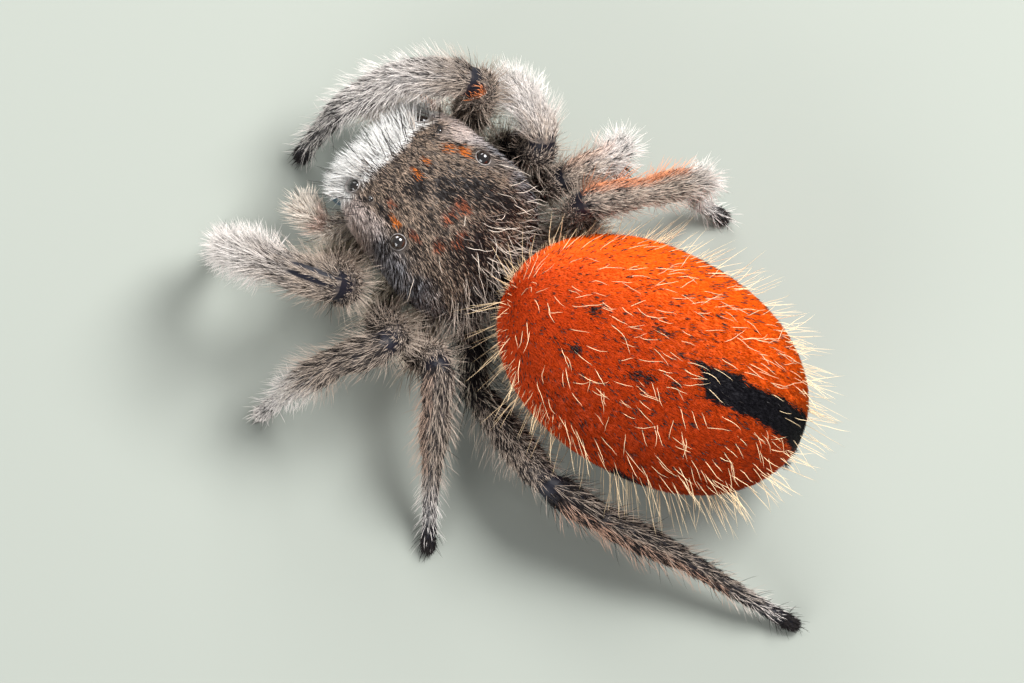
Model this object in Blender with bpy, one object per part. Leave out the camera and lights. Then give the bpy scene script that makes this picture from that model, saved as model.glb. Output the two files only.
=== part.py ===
"""Desert red jumping spider: a still, life-size model of an adult female, standing.

The spider faces -Y, its left side is at +X, and it stands on the floor. Sizes and places are
in millimetres, with the ground below the midpoint of the rear pair of eyes as their zero, until
the last step turns each mesh into metres. That step also puts the origin at the middle of the
whole spider's box, at floor level.
"""

import math
import random

import bmesh
import bpy
import numpy as np
from mathutils import Matrix, Vector
from mathutils.bvhtree import BVHTree

MM = 0.001                     # metres in a millimetre
GAP = 0.3                      # clear space between two solids that would touch
EYE_GAP = 0.12                 # the same round an eye in its socket

# Head and thorax, one shell with the breast plate below it
CARAPACE_FRONT = -2.0
CARAPACE_REAR = 2.45
# Each station: place along the body, half width, lower edge, top
CARAPACE_STATIONS = (
    (CARAPACE_FRONT, 0.75, 2.15, 2.72),
    (-1.85, 1.12, 2.05, 2.93),
    (-1.6, 1.46, 1.98, 3.10),
    (-1.2, 1.70, 1.88, 3.26),
    (-0.6, 1.82, 1.52, 3.39),
    (0.2, 1.90, 1.50, 3.42),
    (0.9, 1.95, 1.50, 3.26),
    (1.5, 1.80, 1.50, 2.88),
    (2.0, 1.46, 1.50, 2.34),
    (2.3, 1.10, 1.52, 1.98),
    (CARAPACE_REAR, 0.75, 1.56, 1.80),
)
CARAPACE_BOXINESS = 2.7        # exponent of the cross-section, 2 being an ellipse
CARAPACE_SIDES = 28
STERNUM_HALF_WIDTH = 0.95
STERNUM_FRONT = -0.92
STERNUM_REAR = 2.3
STERNUM_BOTTOM = 0.45
STERNUM_TOP = 1.75
STERNUM_BEVEL = 0.14

# Eyes: name, sideways, along the body, height, radius, fineness
EYES = (
    ("anterior_median", 0.40, -1.76, 2.54, 0.31, 3),
    ("anterior_lateral", 1.08, -1.54, 2.78, 0.20, 2),
    ("posterior_median", 1.12, -1.11, 3.10, 0.09, 2),
    ("posterior_lateral", 1.38, 0.0, 3.13, 0.21, 2),
)

# Jaws. Each station: height, half width, half depth
CHELICERA_X = 0.66
CHELICERA_Y = -1.72
CHELICERA_STATIONS = (
    (1.62, 0.31, 0.28),
    (1.52, 0.41, 0.38),
    (1.25, 0.48, 0.45),
    (0.88, 0.47, 0.44),
    (0.60, 0.40, 0.37),
    (0.46, 0.24, 0.22),
)
CHELICERA_SIDES = 14
CHELICERA_BOXINESS = 2.4
FANG_PATH = ((0.66, -1.84, 0.66), (0.64, -1.90, 0.38), (0.44, -1.80, 0.20))
FANG_RADII = (0.15, 0.14, 0.12, 0.08, 0.03)
FANG_BEND_RADIUS = 0.15

# Abdomen, an egg-shaped body that swings a little to the spider's right
ABDOMEN_CENTRE = Vector((-0.90, 5.94, 2.72))
ABDOMEN_YAW = math.radians(17.0)
ABDOMEN_HALF_LENGTH = 3.70
ABDOMEN_HALF_WIDTH = 2.60
ABDOMEN_TOP_HEIGHT = 2.10
ABDOMEN_BELLY_DEPTH = 1.80
ABDOMEN_FULLNESS = 2.15        # exponent of the outline, 2 being an ellipse
ABDOMEN_SIDES = 30
ABDOMEN_RINGS = 17

PEDICEL_START = Vector((0.0, STERNUM_REAR + GAP, 0.92))
PEDICEL_END = Vector((-0.03, 3.02, 1.16))
PEDICEL_RADIUS = 0.28

# Spinnerets under the abdomen's end
SPINNERET_PLACE = 0.80         # share of the abdomen's half length, behind its centre
SPINNERET_BASE = 0.30
SPINNERET_LENGTH = 0.50
SPINNERET_SPREAD = 0.15
SPINNERET_RADII = (0.13, 0.07)

# Leg segments from the hip out: femur, patella, tibia, metatarsus, tarsus
SEGMENT_LENGTHS = {
    "1": (3.00, 1.75, 1.75, 1.30, 0.85),
    "2": (2.50, 1.45, 1.20, 1.05, 0.80),
    "3": (1.75, 1.10, 1.25, 1.30, 0.90),
    "4": (2.90, 1.50, 2.35, 2.10, 1.00),
}
LEG_GIRTH = {"1": 1.05, "2": 0.94, "3": 0.88, "4": 0.90}
HIP_X = STERNUM_HALF_WIDTH + GAP
HIP_Z = 0.85
HIP_Y = {"1": -0.56, "2": 0.34, "3": 1.24, "4": 2.14}

# Pose of each leg: its trochanter, then the direction of each segment as two angles,
# degrees from straight ahead towards the spider's left, and degrees up from level.
# The tarsus has only the first, because it slopes just enough to reach the floor.
LEG_POSES = {
    "left_1": ((2.30, -0.75, 0.95), (128, 68), (25, -4), (3, -57), (-90, -80), -60),
    "left_2": ((2.32, 0.85, 0.95), (133, 66), (61, -24), (72, -40), (76, -86), 80),
    "left_3": ((2.45, 2.00, 0.95), (180, 74), (134, -24), (137, -36), (139, -39), 138),
    "left_4": ((1.95, 3.55, 1.00), (165, 24), (-163, -17), (-157, -15), (-161, -17), -159),
    "right_1": ((-2.38, -0.85, 0.95), (-6, 82), (36, -28), (68, -34), (92, -62), 100),
    "right_2": ((-2.45, 0.02, 0.95), (-172, 67), (-25, -16), (-18, -58), (-60, -78), -120),
    "right_3": ((-2.45, 1.15, 0.76), (-162, 74), (-116, 37), (-91, -48), (-60, -80), 175),
    "right_4": ((-2.40, 2.72, 0.80), (31, 79), (-130, 26), (-113, -39), (-146, -84), -152),
}
SOLE_HEIGHT = 0.16             # of the last segment's middle line at its end
TIP_RADIUS = 0.22
LEG_SIDES = 8
BEND_RADIUS = 0.44             # of a leg's middle line round a joint, at girth 1
BEND_STEP = math.radians(26.0)

# Radii of a leg of girth 1 along its three nodes, two values a segment and one at the end
UPPER_RADII = (0.28, 0.31, 0.35, 0.44, 0.39)
MIDDLE_RADII = (0.40, 0.47, 0.44, 0.44, 0.35)
FOOT_RADII = (0.35, 0.31, 0.28, 0.28, TIP_RADIUS)

# Feelers beside the jaws, from root to tip
PALP_PATHS = {
    "left": ((1.32, -1.08, 1.28), (1.86, -1.36, 1.55), (2.00, -1.95, 1.70), (1.72, -2.12, 1.00)),
    "right": ((-1.34, -1.05, 1.28), (-1.82, -1.46, 1.52), (-1.55, -2.20, 1.50), (-0.85, -2.75, 0.95)),
}
PALP_BEND_RADIUS = 0.32
PALP_RADII = (0.19, 0.23, 0.27, 0.31, 0.33, 0.31, 0.24)

# Locks of long hair, each flat and tapered, lying along its limb towards the foot
LOCK_LENGTH = 0.95
LOCK_WIDTH = 0.52
LOCK_THICKNESS = 0.38
LOCK_RISE = 0.34               # of the tip above the limb
LOCK_TURN = math.radians(137.5)
# Share of the length, share of the rise, share of the width and thickness
LOCK_STATIONS = ((0.0, -0.75, 0.75), (0.4, -0.05, 1.0), (0.75, 0.45, 0.7))
LOCK_CLEARANCE = 0.22          # to other solids and to the floor
LOCK_COUNTS = {"upper": 8, "middle": 10, "foot": 4, "palp": 7}
LOCK_BARE_START = {"upper": 0.9, "middle": 0.1, "foot": 0.1, "palp": 0.7}
LOCK_BARE_END = {"upper": 0.1, "middle": 0.1, "foot": 0.35, "palp": 0.1}
LOCK_JITTER = 0.3              # radians either way of a lock's place round its limb
LOCK_DRIFT = 0.35              # radians either way that its tip bends round the limb
LOCK_SIZES = (0.9, 1.1)        # least and most, and the size of one with little room
LOCK_SIZE_CRAMPED = 0.7
BEARD_LOCKS = 7                # below the front eyes
BEARD_SPAN = 1.7
BEARD_ROOT = (-1.55, 1.99)     # along the body and height of their roots
BEARD_LENGTH = 1.1
BEARD_THICKNESS = 0.26
BEARD_STATIONS = ((0.0, 0.9), (0.45, 1.0), (0.8, 0.6))    # share of length, of width
BEARD_SLOPE = (-0.15, -0.75)   # of its direction, at root and tip
BEARD_SPREAD = 0.25            # sideways lean of the outermost locks

# Locks of the abdomen's bristles, lying to its rear and standing off its top and sides
ABDOMEN_LOCKS = 42
ABDOMEN_LOCK_SPAN = (-0.80, 0.88)      # first and last place along it
ABDOMEN_LOCK_TURNS = (math.radians(-12.0), math.radians(192.0))    # places round it
ABDOMEN_LOCK_LENGTH = 1.3
ABDOMEN_LOCK_WIDTH = 0.72
ABDOMEN_LOCK_THICKNESS = 0.36
ABDOMEN_LOCK_DEPTH = 0.16              # of its root below the skin
ABDOMEN_LOCK_SLOPES = (0.50, 0.14)     # radians from the skin at its root and tip
ABDOMEN_LOCK_LEAN = 0.35               # radians that it may turn to either side
ABDOMEN_LOCK_STATIONS = ((0.0, 0.8), (0.45, 1.0), (0.8, 0.6))    # share of length, of width
GOLDEN_SHARE = 0.618                   # of the way round, from each lock to the next

SKY = Vector((0.0, 0.0, 1.0))


def clear_scene():
    """Remove every object that the file already holds."""
    for old in list(bpy.data.objects):
        bpy.data.objects.remove(old, do_unlink=True)


def make_material(name, colour, roughness, metallic=0.0):
    """A Principled material with one colour."""
    material = bpy.data.materials.new(name)
    material.use_nodes = True
    shader = material.node_tree.nodes["Principled BSDF"]
    shader.inputs["Base Color"].default_value = (*colour, 1.0)
    shader.inputs["Roughness"].default_value = roughness
    shader.inputs["Metallic"].default_value = metallic
    return material


def direction(azimuth, elevation):
    """Unit vector from degrees left of straight ahead and degrees up."""
    turn = math.radians(azimuth)
    rise = math.radians(elevation)
    level = math.cos(rise)
    return Vector((level * math.sin(turn), -level * math.cos(turn), math.sin(rise)))


def mesh_object(name, bm):
    """Close the bmesh's normals and put it in an object, still in millimetres."""
    bmesh.ops.recalc_face_normals(bm, faces=bm.faces)
    mesh = bpy.data.meshes.new(name)
    bm.to_mesh(mesh)
    bm.free()
    made = bpy.data.objects.new(name, mesh)
    bpy.context.scene.collection.objects.link(made)
    return made


def loft(name, rings, start_point=None, end_point=None):
    """Closed skin through rings of points, each end closed flat or to a point."""
    bm = bmesh.new()
    rows = [[bm.verts.new(point) for point in ring] for ring in rings]
    count = len(rows[0])
    for low, high in zip(rows, rows[1:]):
        for i in range(count):
            j = (i + 1) % count
            bm.faces.new((low[i], low[j], high[j], high[i]))
    for row, point in ((rows[0], start_point), (rows[-1], end_point)):
        if point is None:
            bm.faces.new(row)
        else:
            tip = bm.verts.new(point)
            for i in range(count):
                bm.faces.new((row[i], row[(i + 1) % count], tip))
    bmesh.ops.triangulate(bm, faces=[face for face in bm.faces if len(face.verts) > 4])
    return mesh_object(name, bm)


def smooth_stations(stations, steps):
    """Cubic curve through rows of values, the first value being the place along the body."""
    rows = np.array(stations)
    places = rows[:, 0]
    slopes = np.gradient(rows, places, axis=0)
    out = [rows[0]]
    for k in range(len(rows) - 1):
        span = places[k + 1] - places[k]
        for step in range(1, steps + 1):
            t = step / steps
            start = (1 + 2 * t) * (1 - t) ** 2
            end = t * t * (3 - 2 * t)
            lead = t * (1 - t) ** 2 * span
            trail = t * t * (t - 1) * span
            out.append(start * rows[k] + end * rows[k + 1] + lead * slopes[k] + trail * slopes[k + 1])
    return out


def boxy_ring(centre, across, up, boxiness, sides):
    """Points of a superellipse round a centre, with two half-axis vectors."""
    points = []
    for i in range(sides):
        angle = 2 * math.pi * (i + 0.5) / sides
        c, s = math.cos(angle), math.sin(angle)
        power = 2.0 / boxiness
        along = math.copysign(abs(c) ** power, c)
        above = math.copysign(abs(s) ** power, s)
        points.append(centre + along * across + above * up)
    return points


def round_ring(centre, normal, radius, sides, across):
    """Points of a circle in the plane of a normal, and the across vector that starts it."""
    across = (across - across.dot(normal) * normal).normalized()
    upward = normal.cross(across)
    points = []
    for i in range(sides):
        angle = 2 * math.pi * i / sides
        points.append(centre + radius * (math.cos(angle) * across + math.sin(angle) * upward))
    return points, across


def limb_line(joints, radii, bend_radius, from_bend=False, to_bend=False):
    """Centres, directions and radii along straight segments with round bends at their joints.

    There are two radii a segment and one at the end. Where a limb goes on past its first or
    last joint, the neighbouring joint comes too, and the line starts or ends inside the bend.
    """
    steps = [b - a for a, b in zip(joints, joints[1:])]
    headings = [step.normalized() for step in steps]
    line = []
    last = len(joints) - 1
    for k in range(last + 1):
        if k in (0, last):
            if (k == 0 and not from_bend) or (k == last and not to_bend):
                line.append((joints[k], headings[min(k, last - 1)], float(k)))
        else:
            before, after = headings[k - 1], headings[k]
            turn = before.angle(after)
            inward = (after - before.dot(after) * before).normalized()
            lead = bend_radius * math.tan(turn / 2)
            start = joints[k] - lead * before
            count = max(2, math.ceil(turn / BEND_STEP))
            first = count / 2 if from_bend and k == 1 else 0
            final = count / 2 if to_bend and k == last - 1 else count
            for step in [first] + [n for n in range(count + 1) if first < n < final] + [final]:
                angle = turn * step / count
                centre = (start + bend_radius * math.sin(angle) * before
                          + bend_radius * (1 - math.cos(angle)) * inward)
                heading = math.cos(angle) * before + math.sin(angle) * inward
                share = lead / (steps[k - 1].length if angle < turn / 2 else steps[k].length)
                line.append((centre, heading, k + share * (2 * step / count - 1)))
        begins = 1 if from_bend else 0
        ends = last - 1 if to_bend else last
        if begins <= k < ends:
            line.append((joints[k] + steps[k] / 2, headings[k], k + 0.5))
    line.sort(key=lambda row: row[2])
    first = 1 if from_bend else 0
    places = first + np.arange(len(radii)) / 2
    return [(centre, heading, float(np.interp(place, places, radii)))
            for centre, heading, place in line]


def limb_frames(line):
    """The rows of a limb line, each with a vector across it that doesn't twist."""
    across = SKY if abs(line[0][1].z) < 0.9 else Vector((1.0, 0.0, 0.0))
    frames = []
    for centre, heading, radius in line:
        across = (across - across.dot(heading) * heading).normalized()
        frames.append((centre, heading, radius, across))
    return frames


def limb_solid(name, line, sides, round_end):
    """Tube along a limb line, closed flat at its start and flat or rounded at its end."""
    rings = []
    for centre, heading, radius, across in limb_frames(line):
        rings.append(round_ring(centre, heading, radius, sides, across)[0])
    end_point = None
    if round_end:
        for turn in (0.6, 1.15):
            rings.append(round_ring(centre + heading * radius * math.sin(turn), heading,
                                    radius * math.cos(turn), sides, across)[0])
        end_point = centre + heading * radius
    return loft(name, rings, end_point=end_point)


def ball(name, centre, radius, fineness):
    """Closed round solid of equal triangles."""
    bm = bmesh.new()
    bmesh.ops.create_icosphere(bm, subdivisions=fineness, radius=radius,
                               matrix=Matrix.Translation(centre))
    return mesh_object(name, bm)


def rounded_block(name, low, high, bevel):
    """Box between two corners with bevelled edges."""
    bm = bmesh.new()
    middle = (low + high) / 2
    size = high - low
    scale = Matrix.Diagonal((size.x, size.y, size.z, 1.0))
    bmesh.ops.create_cube(bm, size=1.0, matrix=Matrix.Translation(middle) @ scale)
    bmesh.ops.bevel(bm, geom=list(bm.edges), offset=bevel, segments=2, profile=0.5, affect="EDGES")
    return mesh_object(name, bm)


def combine(base, pieces, operation, solver="EXACT"):
    """Fuse pieces to a solid, or cut them from it, in one Boolean, and remove the pieces."""
    group = bpy.data.collections.new("pieces of " + base.name)
    for piece in pieces:
        group.objects.link(piece)
    boolean = base.modifiers.new("combine", "BOOLEAN")
    boolean.operation = operation
    boolean.operand_type = "COLLECTION"
    boolean.collection = group
    boolean.solver = solver
    graph = bpy.context.evaluated_depsgraph_get()
    result = bpy.data.meshes.new_from_object(base.evaluated_get(graph))
    base.modifiers.clear()
    base.data = result
    for piece in list(group.objects):
        bpy.data.objects.remove(piece, do_unlink=True)
    bpy.data.collections.remove(group)


def keep_largest(solid):
    """Leave only the largest closed surface of a solid."""
    bm = bmesh.new()
    bm.from_mesh(solid.data)
    bm.faces.ensure_lookup_table()
    unseen = set(bm.faces)
    shells = []
    while unseen:
        seed = unseen.pop()
        shell = {seed}
        edge_of_search = [seed]
        while edge_of_search:
            face = edge_of_search.pop()
            for edge in face.edges:
                for near in edge.link_faces:
                    if near in unseen:
                        unseen.discard(near)
                        shell.add(near)
                        edge_of_search.append(near)
        shells.append(shell)
    shells.sort(key=lambda shell: sum(face.calc_area() for face in shell))
    scraps = [face for shell in shells[:-1] for face in shell]
    bmesh.ops.delete(bm, geom=scraps, context="FACES")
    bm.to_mesh(solid.data)
    bm.free()


def cut_flat(solid, point, inward):
    """Cut off what lies behind a plane and close the cut with a flat face."""
    bm = bmesh.new()
    bm.from_mesh(solid.data)
    bmesh.ops.bisect_plane(bm, geom=bm.verts[:] + bm.edges[:] + bm.faces[:], dist=1e-5,
                           plane_co=point, plane_no=inward, clear_inner=True)
    rim = [edge for edge in bm.edges if edge.is_boundary]
    bmesh.ops.contextual_create(bm, geom=rim)
    bmesh.ops.triangulate(bm, faces=[face for face in bm.faces if len(face.verts) > 4])
    bmesh.ops.recalc_face_normals(bm, faces=bm.faces)
    bm.to_mesh(solid.data)
    bm.free()


def limb_length(frames):
    """Length of a limb's middle line."""
    return sum((b[0] - a[0]).length for a, b in zip(frames, frames[1:]))


def along_limb(frames, distance):
    """Centre, direction, radius and across vector at a distance along a limb."""
    for before, after in zip(frames, frames[1:]):
        span = (after[0] - before[0]).length
        if distance <= span:
            break
        distance -= span
    t = min(distance / span, 1.0)
    mixed = [(1 - t) * a + t * b for a, b in zip(before, after)]
    heading = mixed[1].normalized()
    across = (mixed[3] - mixed[3].dot(heading) * heading).normalized()
    return mixed[0], heading, mixed[2], across


def limb_lock(frames, start, angle, size, drift):
    """Flat lock rooted in a limb, bending round it a little and lifting to its tip."""
    rings = []
    for share, lift, width in LOCK_STATIONS + ((1.0, 1.0, 0.0),):
        centre, heading, radius, across = along_limb(frames, start + share * size * LOCK_LENGTH)
        turn = angle + drift * share
        outward = math.cos(turn) * across + math.sin(turn) * heading.cross(across)
        sideways = heading.cross(outward) * width * size * LOCK_WIDTH / 2
        middle = centre + outward * (radius + lift * size * LOCK_RISE)
        thick = outward * width * size * LOCK_THICKNESS / 2
        rings.append([middle + sideways - thick, middle + thick, middle - sideways - thick])
    return loft("lock", rings[:-1], end_point=middle)


def beard_lock(x, lean):
    """Lock below the front eyes that points forward and down."""
    root = Vector((x, *BEARD_ROOT))
    side = Vector((1.0, 0.0, 0.0)) * LOCK_WIDTH / 2
    rings = []
    for share, width in BEARD_STATIONS:
        slope = BEARD_SLOPE[0] + share * (BEARD_SLOPE[1] - BEARD_SLOPE[0])
        heading = Vector((lean, -1.0, slope)).normalized()
        middle = root + heading * share * BEARD_LENGTH
        thick = side.normalized().cross(heading) * width * BEARD_THICKNESS / 2
        rings.append([middle + side * width - thick, middle + thick, middle - side * width - thick])
    return loft("lock", rings, end_point=root + heading * BEARD_LENGTH)


def abdomen_lock(place, angle, lean, size):
    """Flat lock rooted in the abdomen that rises to the rear and bends towards the skin."""
    step = 0.01
    root = abdomen_point(place, angle)
    backward = (abdomen_point(place + step, angle) - abdomen_point(place - step, angle)).normalized()
    round_it = abdomen_point(place, angle + step) - abdomen_point(place, angle - step)
    outward = round_it.cross(backward).normalized()
    if outward.dot(root - ABDOMEN_CENTRE) < 0:
        outward = -outward
    along = math.cos(lean) * backward + math.sin(lean) * outward.cross(backward)
    side = outward.cross(along)
    middle = root - ABDOMEN_LOCK_DEPTH * outward
    rings = []
    before = 0.0
    for share, width in ABDOMEN_LOCK_STATIONS + ((1.0, 0.0),):
        slope = ABDOMEN_LOCK_SLOPES[0] + share * (ABDOMEN_LOCK_SLOPES[1] - ABDOMEN_LOCK_SLOPES[0])
        heading = math.cos(slope) * along + math.sin(slope) * outward
        middle = middle + heading * (share - before) * size * ABDOMEN_LOCK_LENGTH
        before = share
        half = side * width * size * ABDOMEN_LOCK_WIDTH / 2
        thick = heading.cross(side) * width * size * ABDOMEN_LOCK_THICKNESS / 2
        rings.append([middle + half - thick, middle + thick, middle - half - thick])
    return loft("lock", rings[:-1], end_point=middle)


def surface_tree(solid):
    """Search tree of a solid's faces."""
    return BVHTree.FromPolygons([vertex.co for vertex in solid.data.vertices],
                                [tuple(face.vertices) for face in solid.data.polygons])


def is_clear(lock, neighbours):
    """Whether a lock keeps its distance from the floor and from every other solid."""
    points = [vertex.co for vertex in lock.data.vertices]
    if min(point.z for point in points) < LOCK_CLEARANCE:
        return False
    tree = surface_tree(lock)
    for neighbour in neighbours:
        if tree.overlap(neighbour):
            return False
        for point in points:
            if neighbour.find_nearest(point, LOCK_CLEARANCE)[0] is not None:
                return False
    return True


def grow_locks(solid, frames, part, neighbours):
    """Set locks round a limb in even turns, each as long as its neighbours allow, and fuse them."""
    draw = random.Random(solid.name)
    count = LOCK_COUNTS[part]
    first = LOCK_BARE_START[part]
    last = limb_length(frames) - LOCK_LENGTH - LOCK_BARE_END[part]
    locks = []
    for i in range(count):
        start = first + max(last - first, 0.0) * (i + 0.5) / count
        angle = i * LOCK_TURN + draw.uniform(-LOCK_JITTER, LOCK_JITTER)
        drift = draw.uniform(-LOCK_DRIFT, LOCK_DRIFT)
        for size in (draw.uniform(*LOCK_SIZES), LOCK_SIZE_CRAMPED):
            lock = limb_lock(frames, start, angle, size, drift)
            if is_clear(lock, neighbours):
                locks.append(lock)
                break
            bpy.data.objects.remove(lock, do_unlink=True)
    if locks:
        combine(solid, locks, "UNION", "MANIFOLD")
        keep_largest(solid)


def grow_bristles(solid, neighbours):
    """Set the abdomen's locks evenly over its top and sides, and fuse them."""
    draw = random.Random(solid.name)
    first, last = ABDOMEN_LOCK_SPAN
    low, high = ABDOMEN_LOCK_TURNS
    locks = []
    for i in range(ABDOMEN_LOCKS):
        place = first + (last - first) * (i + 0.5) / ABDOMEN_LOCKS
        angle = low + (high - low) * (i * GOLDEN_SHARE % 1.0)
        lean = draw.uniform(-ABDOMEN_LOCK_LEAN, ABDOMEN_LOCK_LEAN)
        lock = abdomen_lock(place, angle, lean, draw.uniform(*LOCK_SIZES))
        if is_clear(lock, neighbours):
            locks.append(lock)
        else:
            bpy.data.objects.remove(lock, do_unlink=True)
    combine(solid, locks, "UNION", "MANIFOLD")
    keep_largest(solid)


def grow_beard(solid, neighbours):
    """Fuse the row of locks below the front eyes."""
    locks = []
    for i in range(BEARD_LOCKS):
        share = 2 * i / (BEARD_LOCKS - 1) - 1
        lock = beard_lock(share * BEARD_SPAN / 2, BEARD_SPREAD * share)
        if is_clear(lock, neighbours):
            locks.append(lock)
        else:
            bpy.data.objects.remove(lock, do_unlink=True)
    combine(solid, locks, "UNION", "MANIFOLD")
    keep_largest(solid)


def build_cephalothorax():
    """Carapace, breast plate and the sockets of the eight eyes."""
    rings = []
    for y, half_width, low, high in smooth_stations(CARAPACE_STATIONS, 2):
        centre = Vector((0.0, y, (low + high) / 2))
        across = Vector((half_width, 0.0, 0.0))
        up = Vector((0.0, 0.0, (high - low) / 2))
        rings.append(boxy_ring(centre, across, up, CARAPACE_BOXINESS, CARAPACE_SIDES))
    shell = loft("cephalothorax", rings)
    breast = rounded_block("breast plate",
                           Vector((-STERNUM_HALF_WIDTH, STERNUM_FRONT, STERNUM_BOTTOM)),
                           Vector((STERNUM_HALF_WIDTH, STERNUM_REAR, STERNUM_TOP)), STERNUM_BEVEL)
    combine(shell, [breast], "UNION")
    sockets = []
    for name, x, y, z, radius, _ in EYES:
        for side in (1, -1):
            sockets.append(ball("socket", Vector((side * x, y, z)), radius + EYE_GAP, 2))
    combine(shell, sockets, "DIFFERENCE")
    keep_largest(shell)
    return shell


def build_eyes():
    """Eight domed eyes, each a ball in its socket."""
    made = []
    for name, x, y, z, radius, fineness in EYES:
        for side, label in ((1, "left"), (-1, "right")):
            made.append(ball(f"eye_{name}_{label}", Vector((side * x, y, z)), radius, fineness))
    return made


def build_chelicerae():
    """Two stout jaws, each with its folded fang."""
    made = []
    for side, label in ((1, "left"), (-1, "right")):
        rings = []
        for z, half_width, half_depth in CHELICERA_STATIONS:
            centre = Vector((side * CHELICERA_X, CHELICERA_Y, z))
            rings.append(boxy_ring(centre, Vector((half_width, 0.0, 0.0)),
                                   Vector((0.0, half_depth, 0.0)), CHELICERA_BOXINESS,
                                   CHELICERA_SIDES))
        jaw = loft("chelicera_" + label, rings)
        path = [Vector((side * x, y, z)) for x, y, z in FANG_PATH]
        fang = limb_solid("fang", limb_line(path, FANG_RADII, FANG_BEND_RADIUS), 6, True)
        combine(jaw, [fang], "UNION")
        keep_largest(jaw)
        made.append(jaw)
    return made


def abdomen_axes():
    """Directions along the abdomen to its rear and across it to the spider's left."""
    back = Vector((-math.sin(ABDOMEN_YAW), math.cos(ABDOMEN_YAW), 0.0))
    left = Vector((math.cos(ABDOMEN_YAW), math.sin(ABDOMEN_YAW), 0.0))
    return back, left


def abdomen_point(place, angle):
    """Point of the abdomen's surface, by the place along it, -1 to 1, and the angle round it."""
    back, left = abdomen_axes()
    swell = math.sqrt(max(1 - abs(place) ** ABDOMEN_FULLNESS, 0.0))
    height = ABDOMEN_TOP_HEIGHT if math.sin(angle) > 0 else ABDOMEN_BELLY_DEPTH
    return (ABDOMEN_CENTRE + place * ABDOMEN_HALF_LENGTH * back
            + swell * ABDOMEN_HALF_WIDTH * math.cos(angle) * left
            + swell * height * math.sin(angle) * SKY)


def build_abdomen():
    """Egg-shaped abdomen, rounder above than below."""
    rings = []
    for k in range(1, ABDOMEN_RINGS):
        place = -math.cos(math.pi * k / ABDOMEN_RINGS)
        rings.append([abdomen_point(place, 2 * math.pi * i / ABDOMEN_SIDES)
                      for i in range(ABDOMEN_SIDES)])
    return loft("abdomen", rings, start_point=abdomen_point(-1.0, 0.0),
                end_point=abdomen_point(1.0, 0.0))


def build_pedicel():
    """Short waist between the breast plate and the abdomen."""
    heading = (PEDICEL_END - PEDICEL_START).normalized()
    line = [(PEDICEL_START, Vector((0.0, 1.0, 0.0)), PEDICEL_RADIUS),
            (PEDICEL_END, heading, PEDICEL_RADIUS * 0.9)]
    return limb_solid("pedicel", line, 12, False)


def build_spinnerets():
    """Two pairs of blunt spinnerets on a common base."""
    back, left = abdomen_axes()
    depth = math.sqrt(1 - SPINNERET_PLACE ** ABDOMEN_FULLNESS)
    slope_back = ABDOMEN_FULLNESS * SPINNERET_PLACE ** (ABDOMEN_FULLNESS - 1) / ABDOMEN_HALF_LENGTH
    slope_down = 2 * depth / ABDOMEN_BELLY_DEPTH
    outward = (slope_back * back - slope_down * SKY).normalized()
    on_belly = (ABDOMEN_CENTRE + SPINNERET_PLACE * ABDOMEN_HALF_LENGTH * back
                - depth * ABDOMEN_BELLY_DEPTH * SKY)
    root = on_belly + GAP * outward
    along = (outward + back).normalized()
    line = [(root, outward, SPINNERET_BASE), (root + 0.2 * along, along, SPINNERET_BASE * 0.95)]
    base = limb_solid("spinnerets", line, 12, False)
    cones = []
    for across in (-1, 1):
        for fore in (-1, 1):
            aside = across * left + fore * along.cross(left)
            start = root + 0.08 * along + SPINNERET_SPREAD * aside
            heading = (along + 0.15 * aside).normalized()
            line = [(start, heading, SPINNERET_RADII[0]),
                    (start + SPINNERET_LENGTH * heading, heading, SPINNERET_RADII[1])]
            cones.append(limb_solid("cone", line, 8, True))
    combine(base, cones, "UNION")
    keep_largest(base)
    return base


def leg_joints(label):
    """Hip, trochanter, knee, the three joints beyond it and the tip of one leg."""
    number = label[-1]
    side = 1 if label.startswith("left") else -1
    trochanter, *turns, last_azimuth = LEG_POSES[label]
    joints = [Vector((side * HIP_X, HIP_Y[number], HIP_Z)), Vector(trochanter)]
    lengths = SEGMENT_LENGTHS[number]
    for length, (azimuth, elevation) in zip(lengths, turns):
        joints.append(joints[-1] + length * direction(azimuth, elevation))
    drop = joints[-1].z - SOLE_HEIGHT
    slope = -math.degrees(math.asin(drop / lengths[-1]))
    joints.append(joints[-1] + lengths[-1] * direction(last_azimuth, slope))
    return joints


def build_leg(label):
    """One leg in three nodes, parted by thin cuts at the knee and at the tibia's end."""
    number = label[-1]
    side = 1 if label.startswith("left") else -1
    joints = leg_joints(label)
    headings = [(b - a).normalized() for a, b in zip(joints, joints[1:])]
    made = []
    for first, part, radii in ((0, "upper", UPPER_RADII), (2, "middle", MIDDLE_RADII),
                               (4, "foot", FOOT_RADII)):
        from_bend, to_bend = first > 0, first < 4
        reach = joints[first - from_bend:first + 3 + to_bend]
        thick = [radius * LEG_GIRTH[number] for radius in radii]
        if part == "foot":
            thick[-1] = TIP_RADIUS
        line = limb_line(reach, thick, BEND_RADIUS * LEG_GIRTH[number], from_bend, to_bend)
        if part == "upper":
            line[0] = (line[0][0], Vector((side, 0.0, 0.0)), line[0][2])
        node = limb_solid(f"leg_{label}_{part}", line, LEG_SIDES, part == "foot")
        if from_bend:
            centre, heading, _ = line[0]
            cut_flat(node, centre + heading * GAP / 2, heading)
        if to_bend:
            centre, heading, _ = line[-1]
            cut_flat(node, centre - heading * GAP / 2, -heading)
        if part == "foot":
            cut_flat(node, Vector((0.0, 0.0, 0.0)), SKY)
        made.append((node, limb_frames(line), part))
    return made


def build_palp(label):
    """One feeler, bent down at its end."""
    path = [Vector(point) for point in PALP_PATHS[label]]
    line = limb_line(path, PALP_RADII, PALP_BEND_RADIUS)
    return limb_solid("palp_" + label, line, LEG_SIDES, True), limb_frames(line), "palp"


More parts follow.
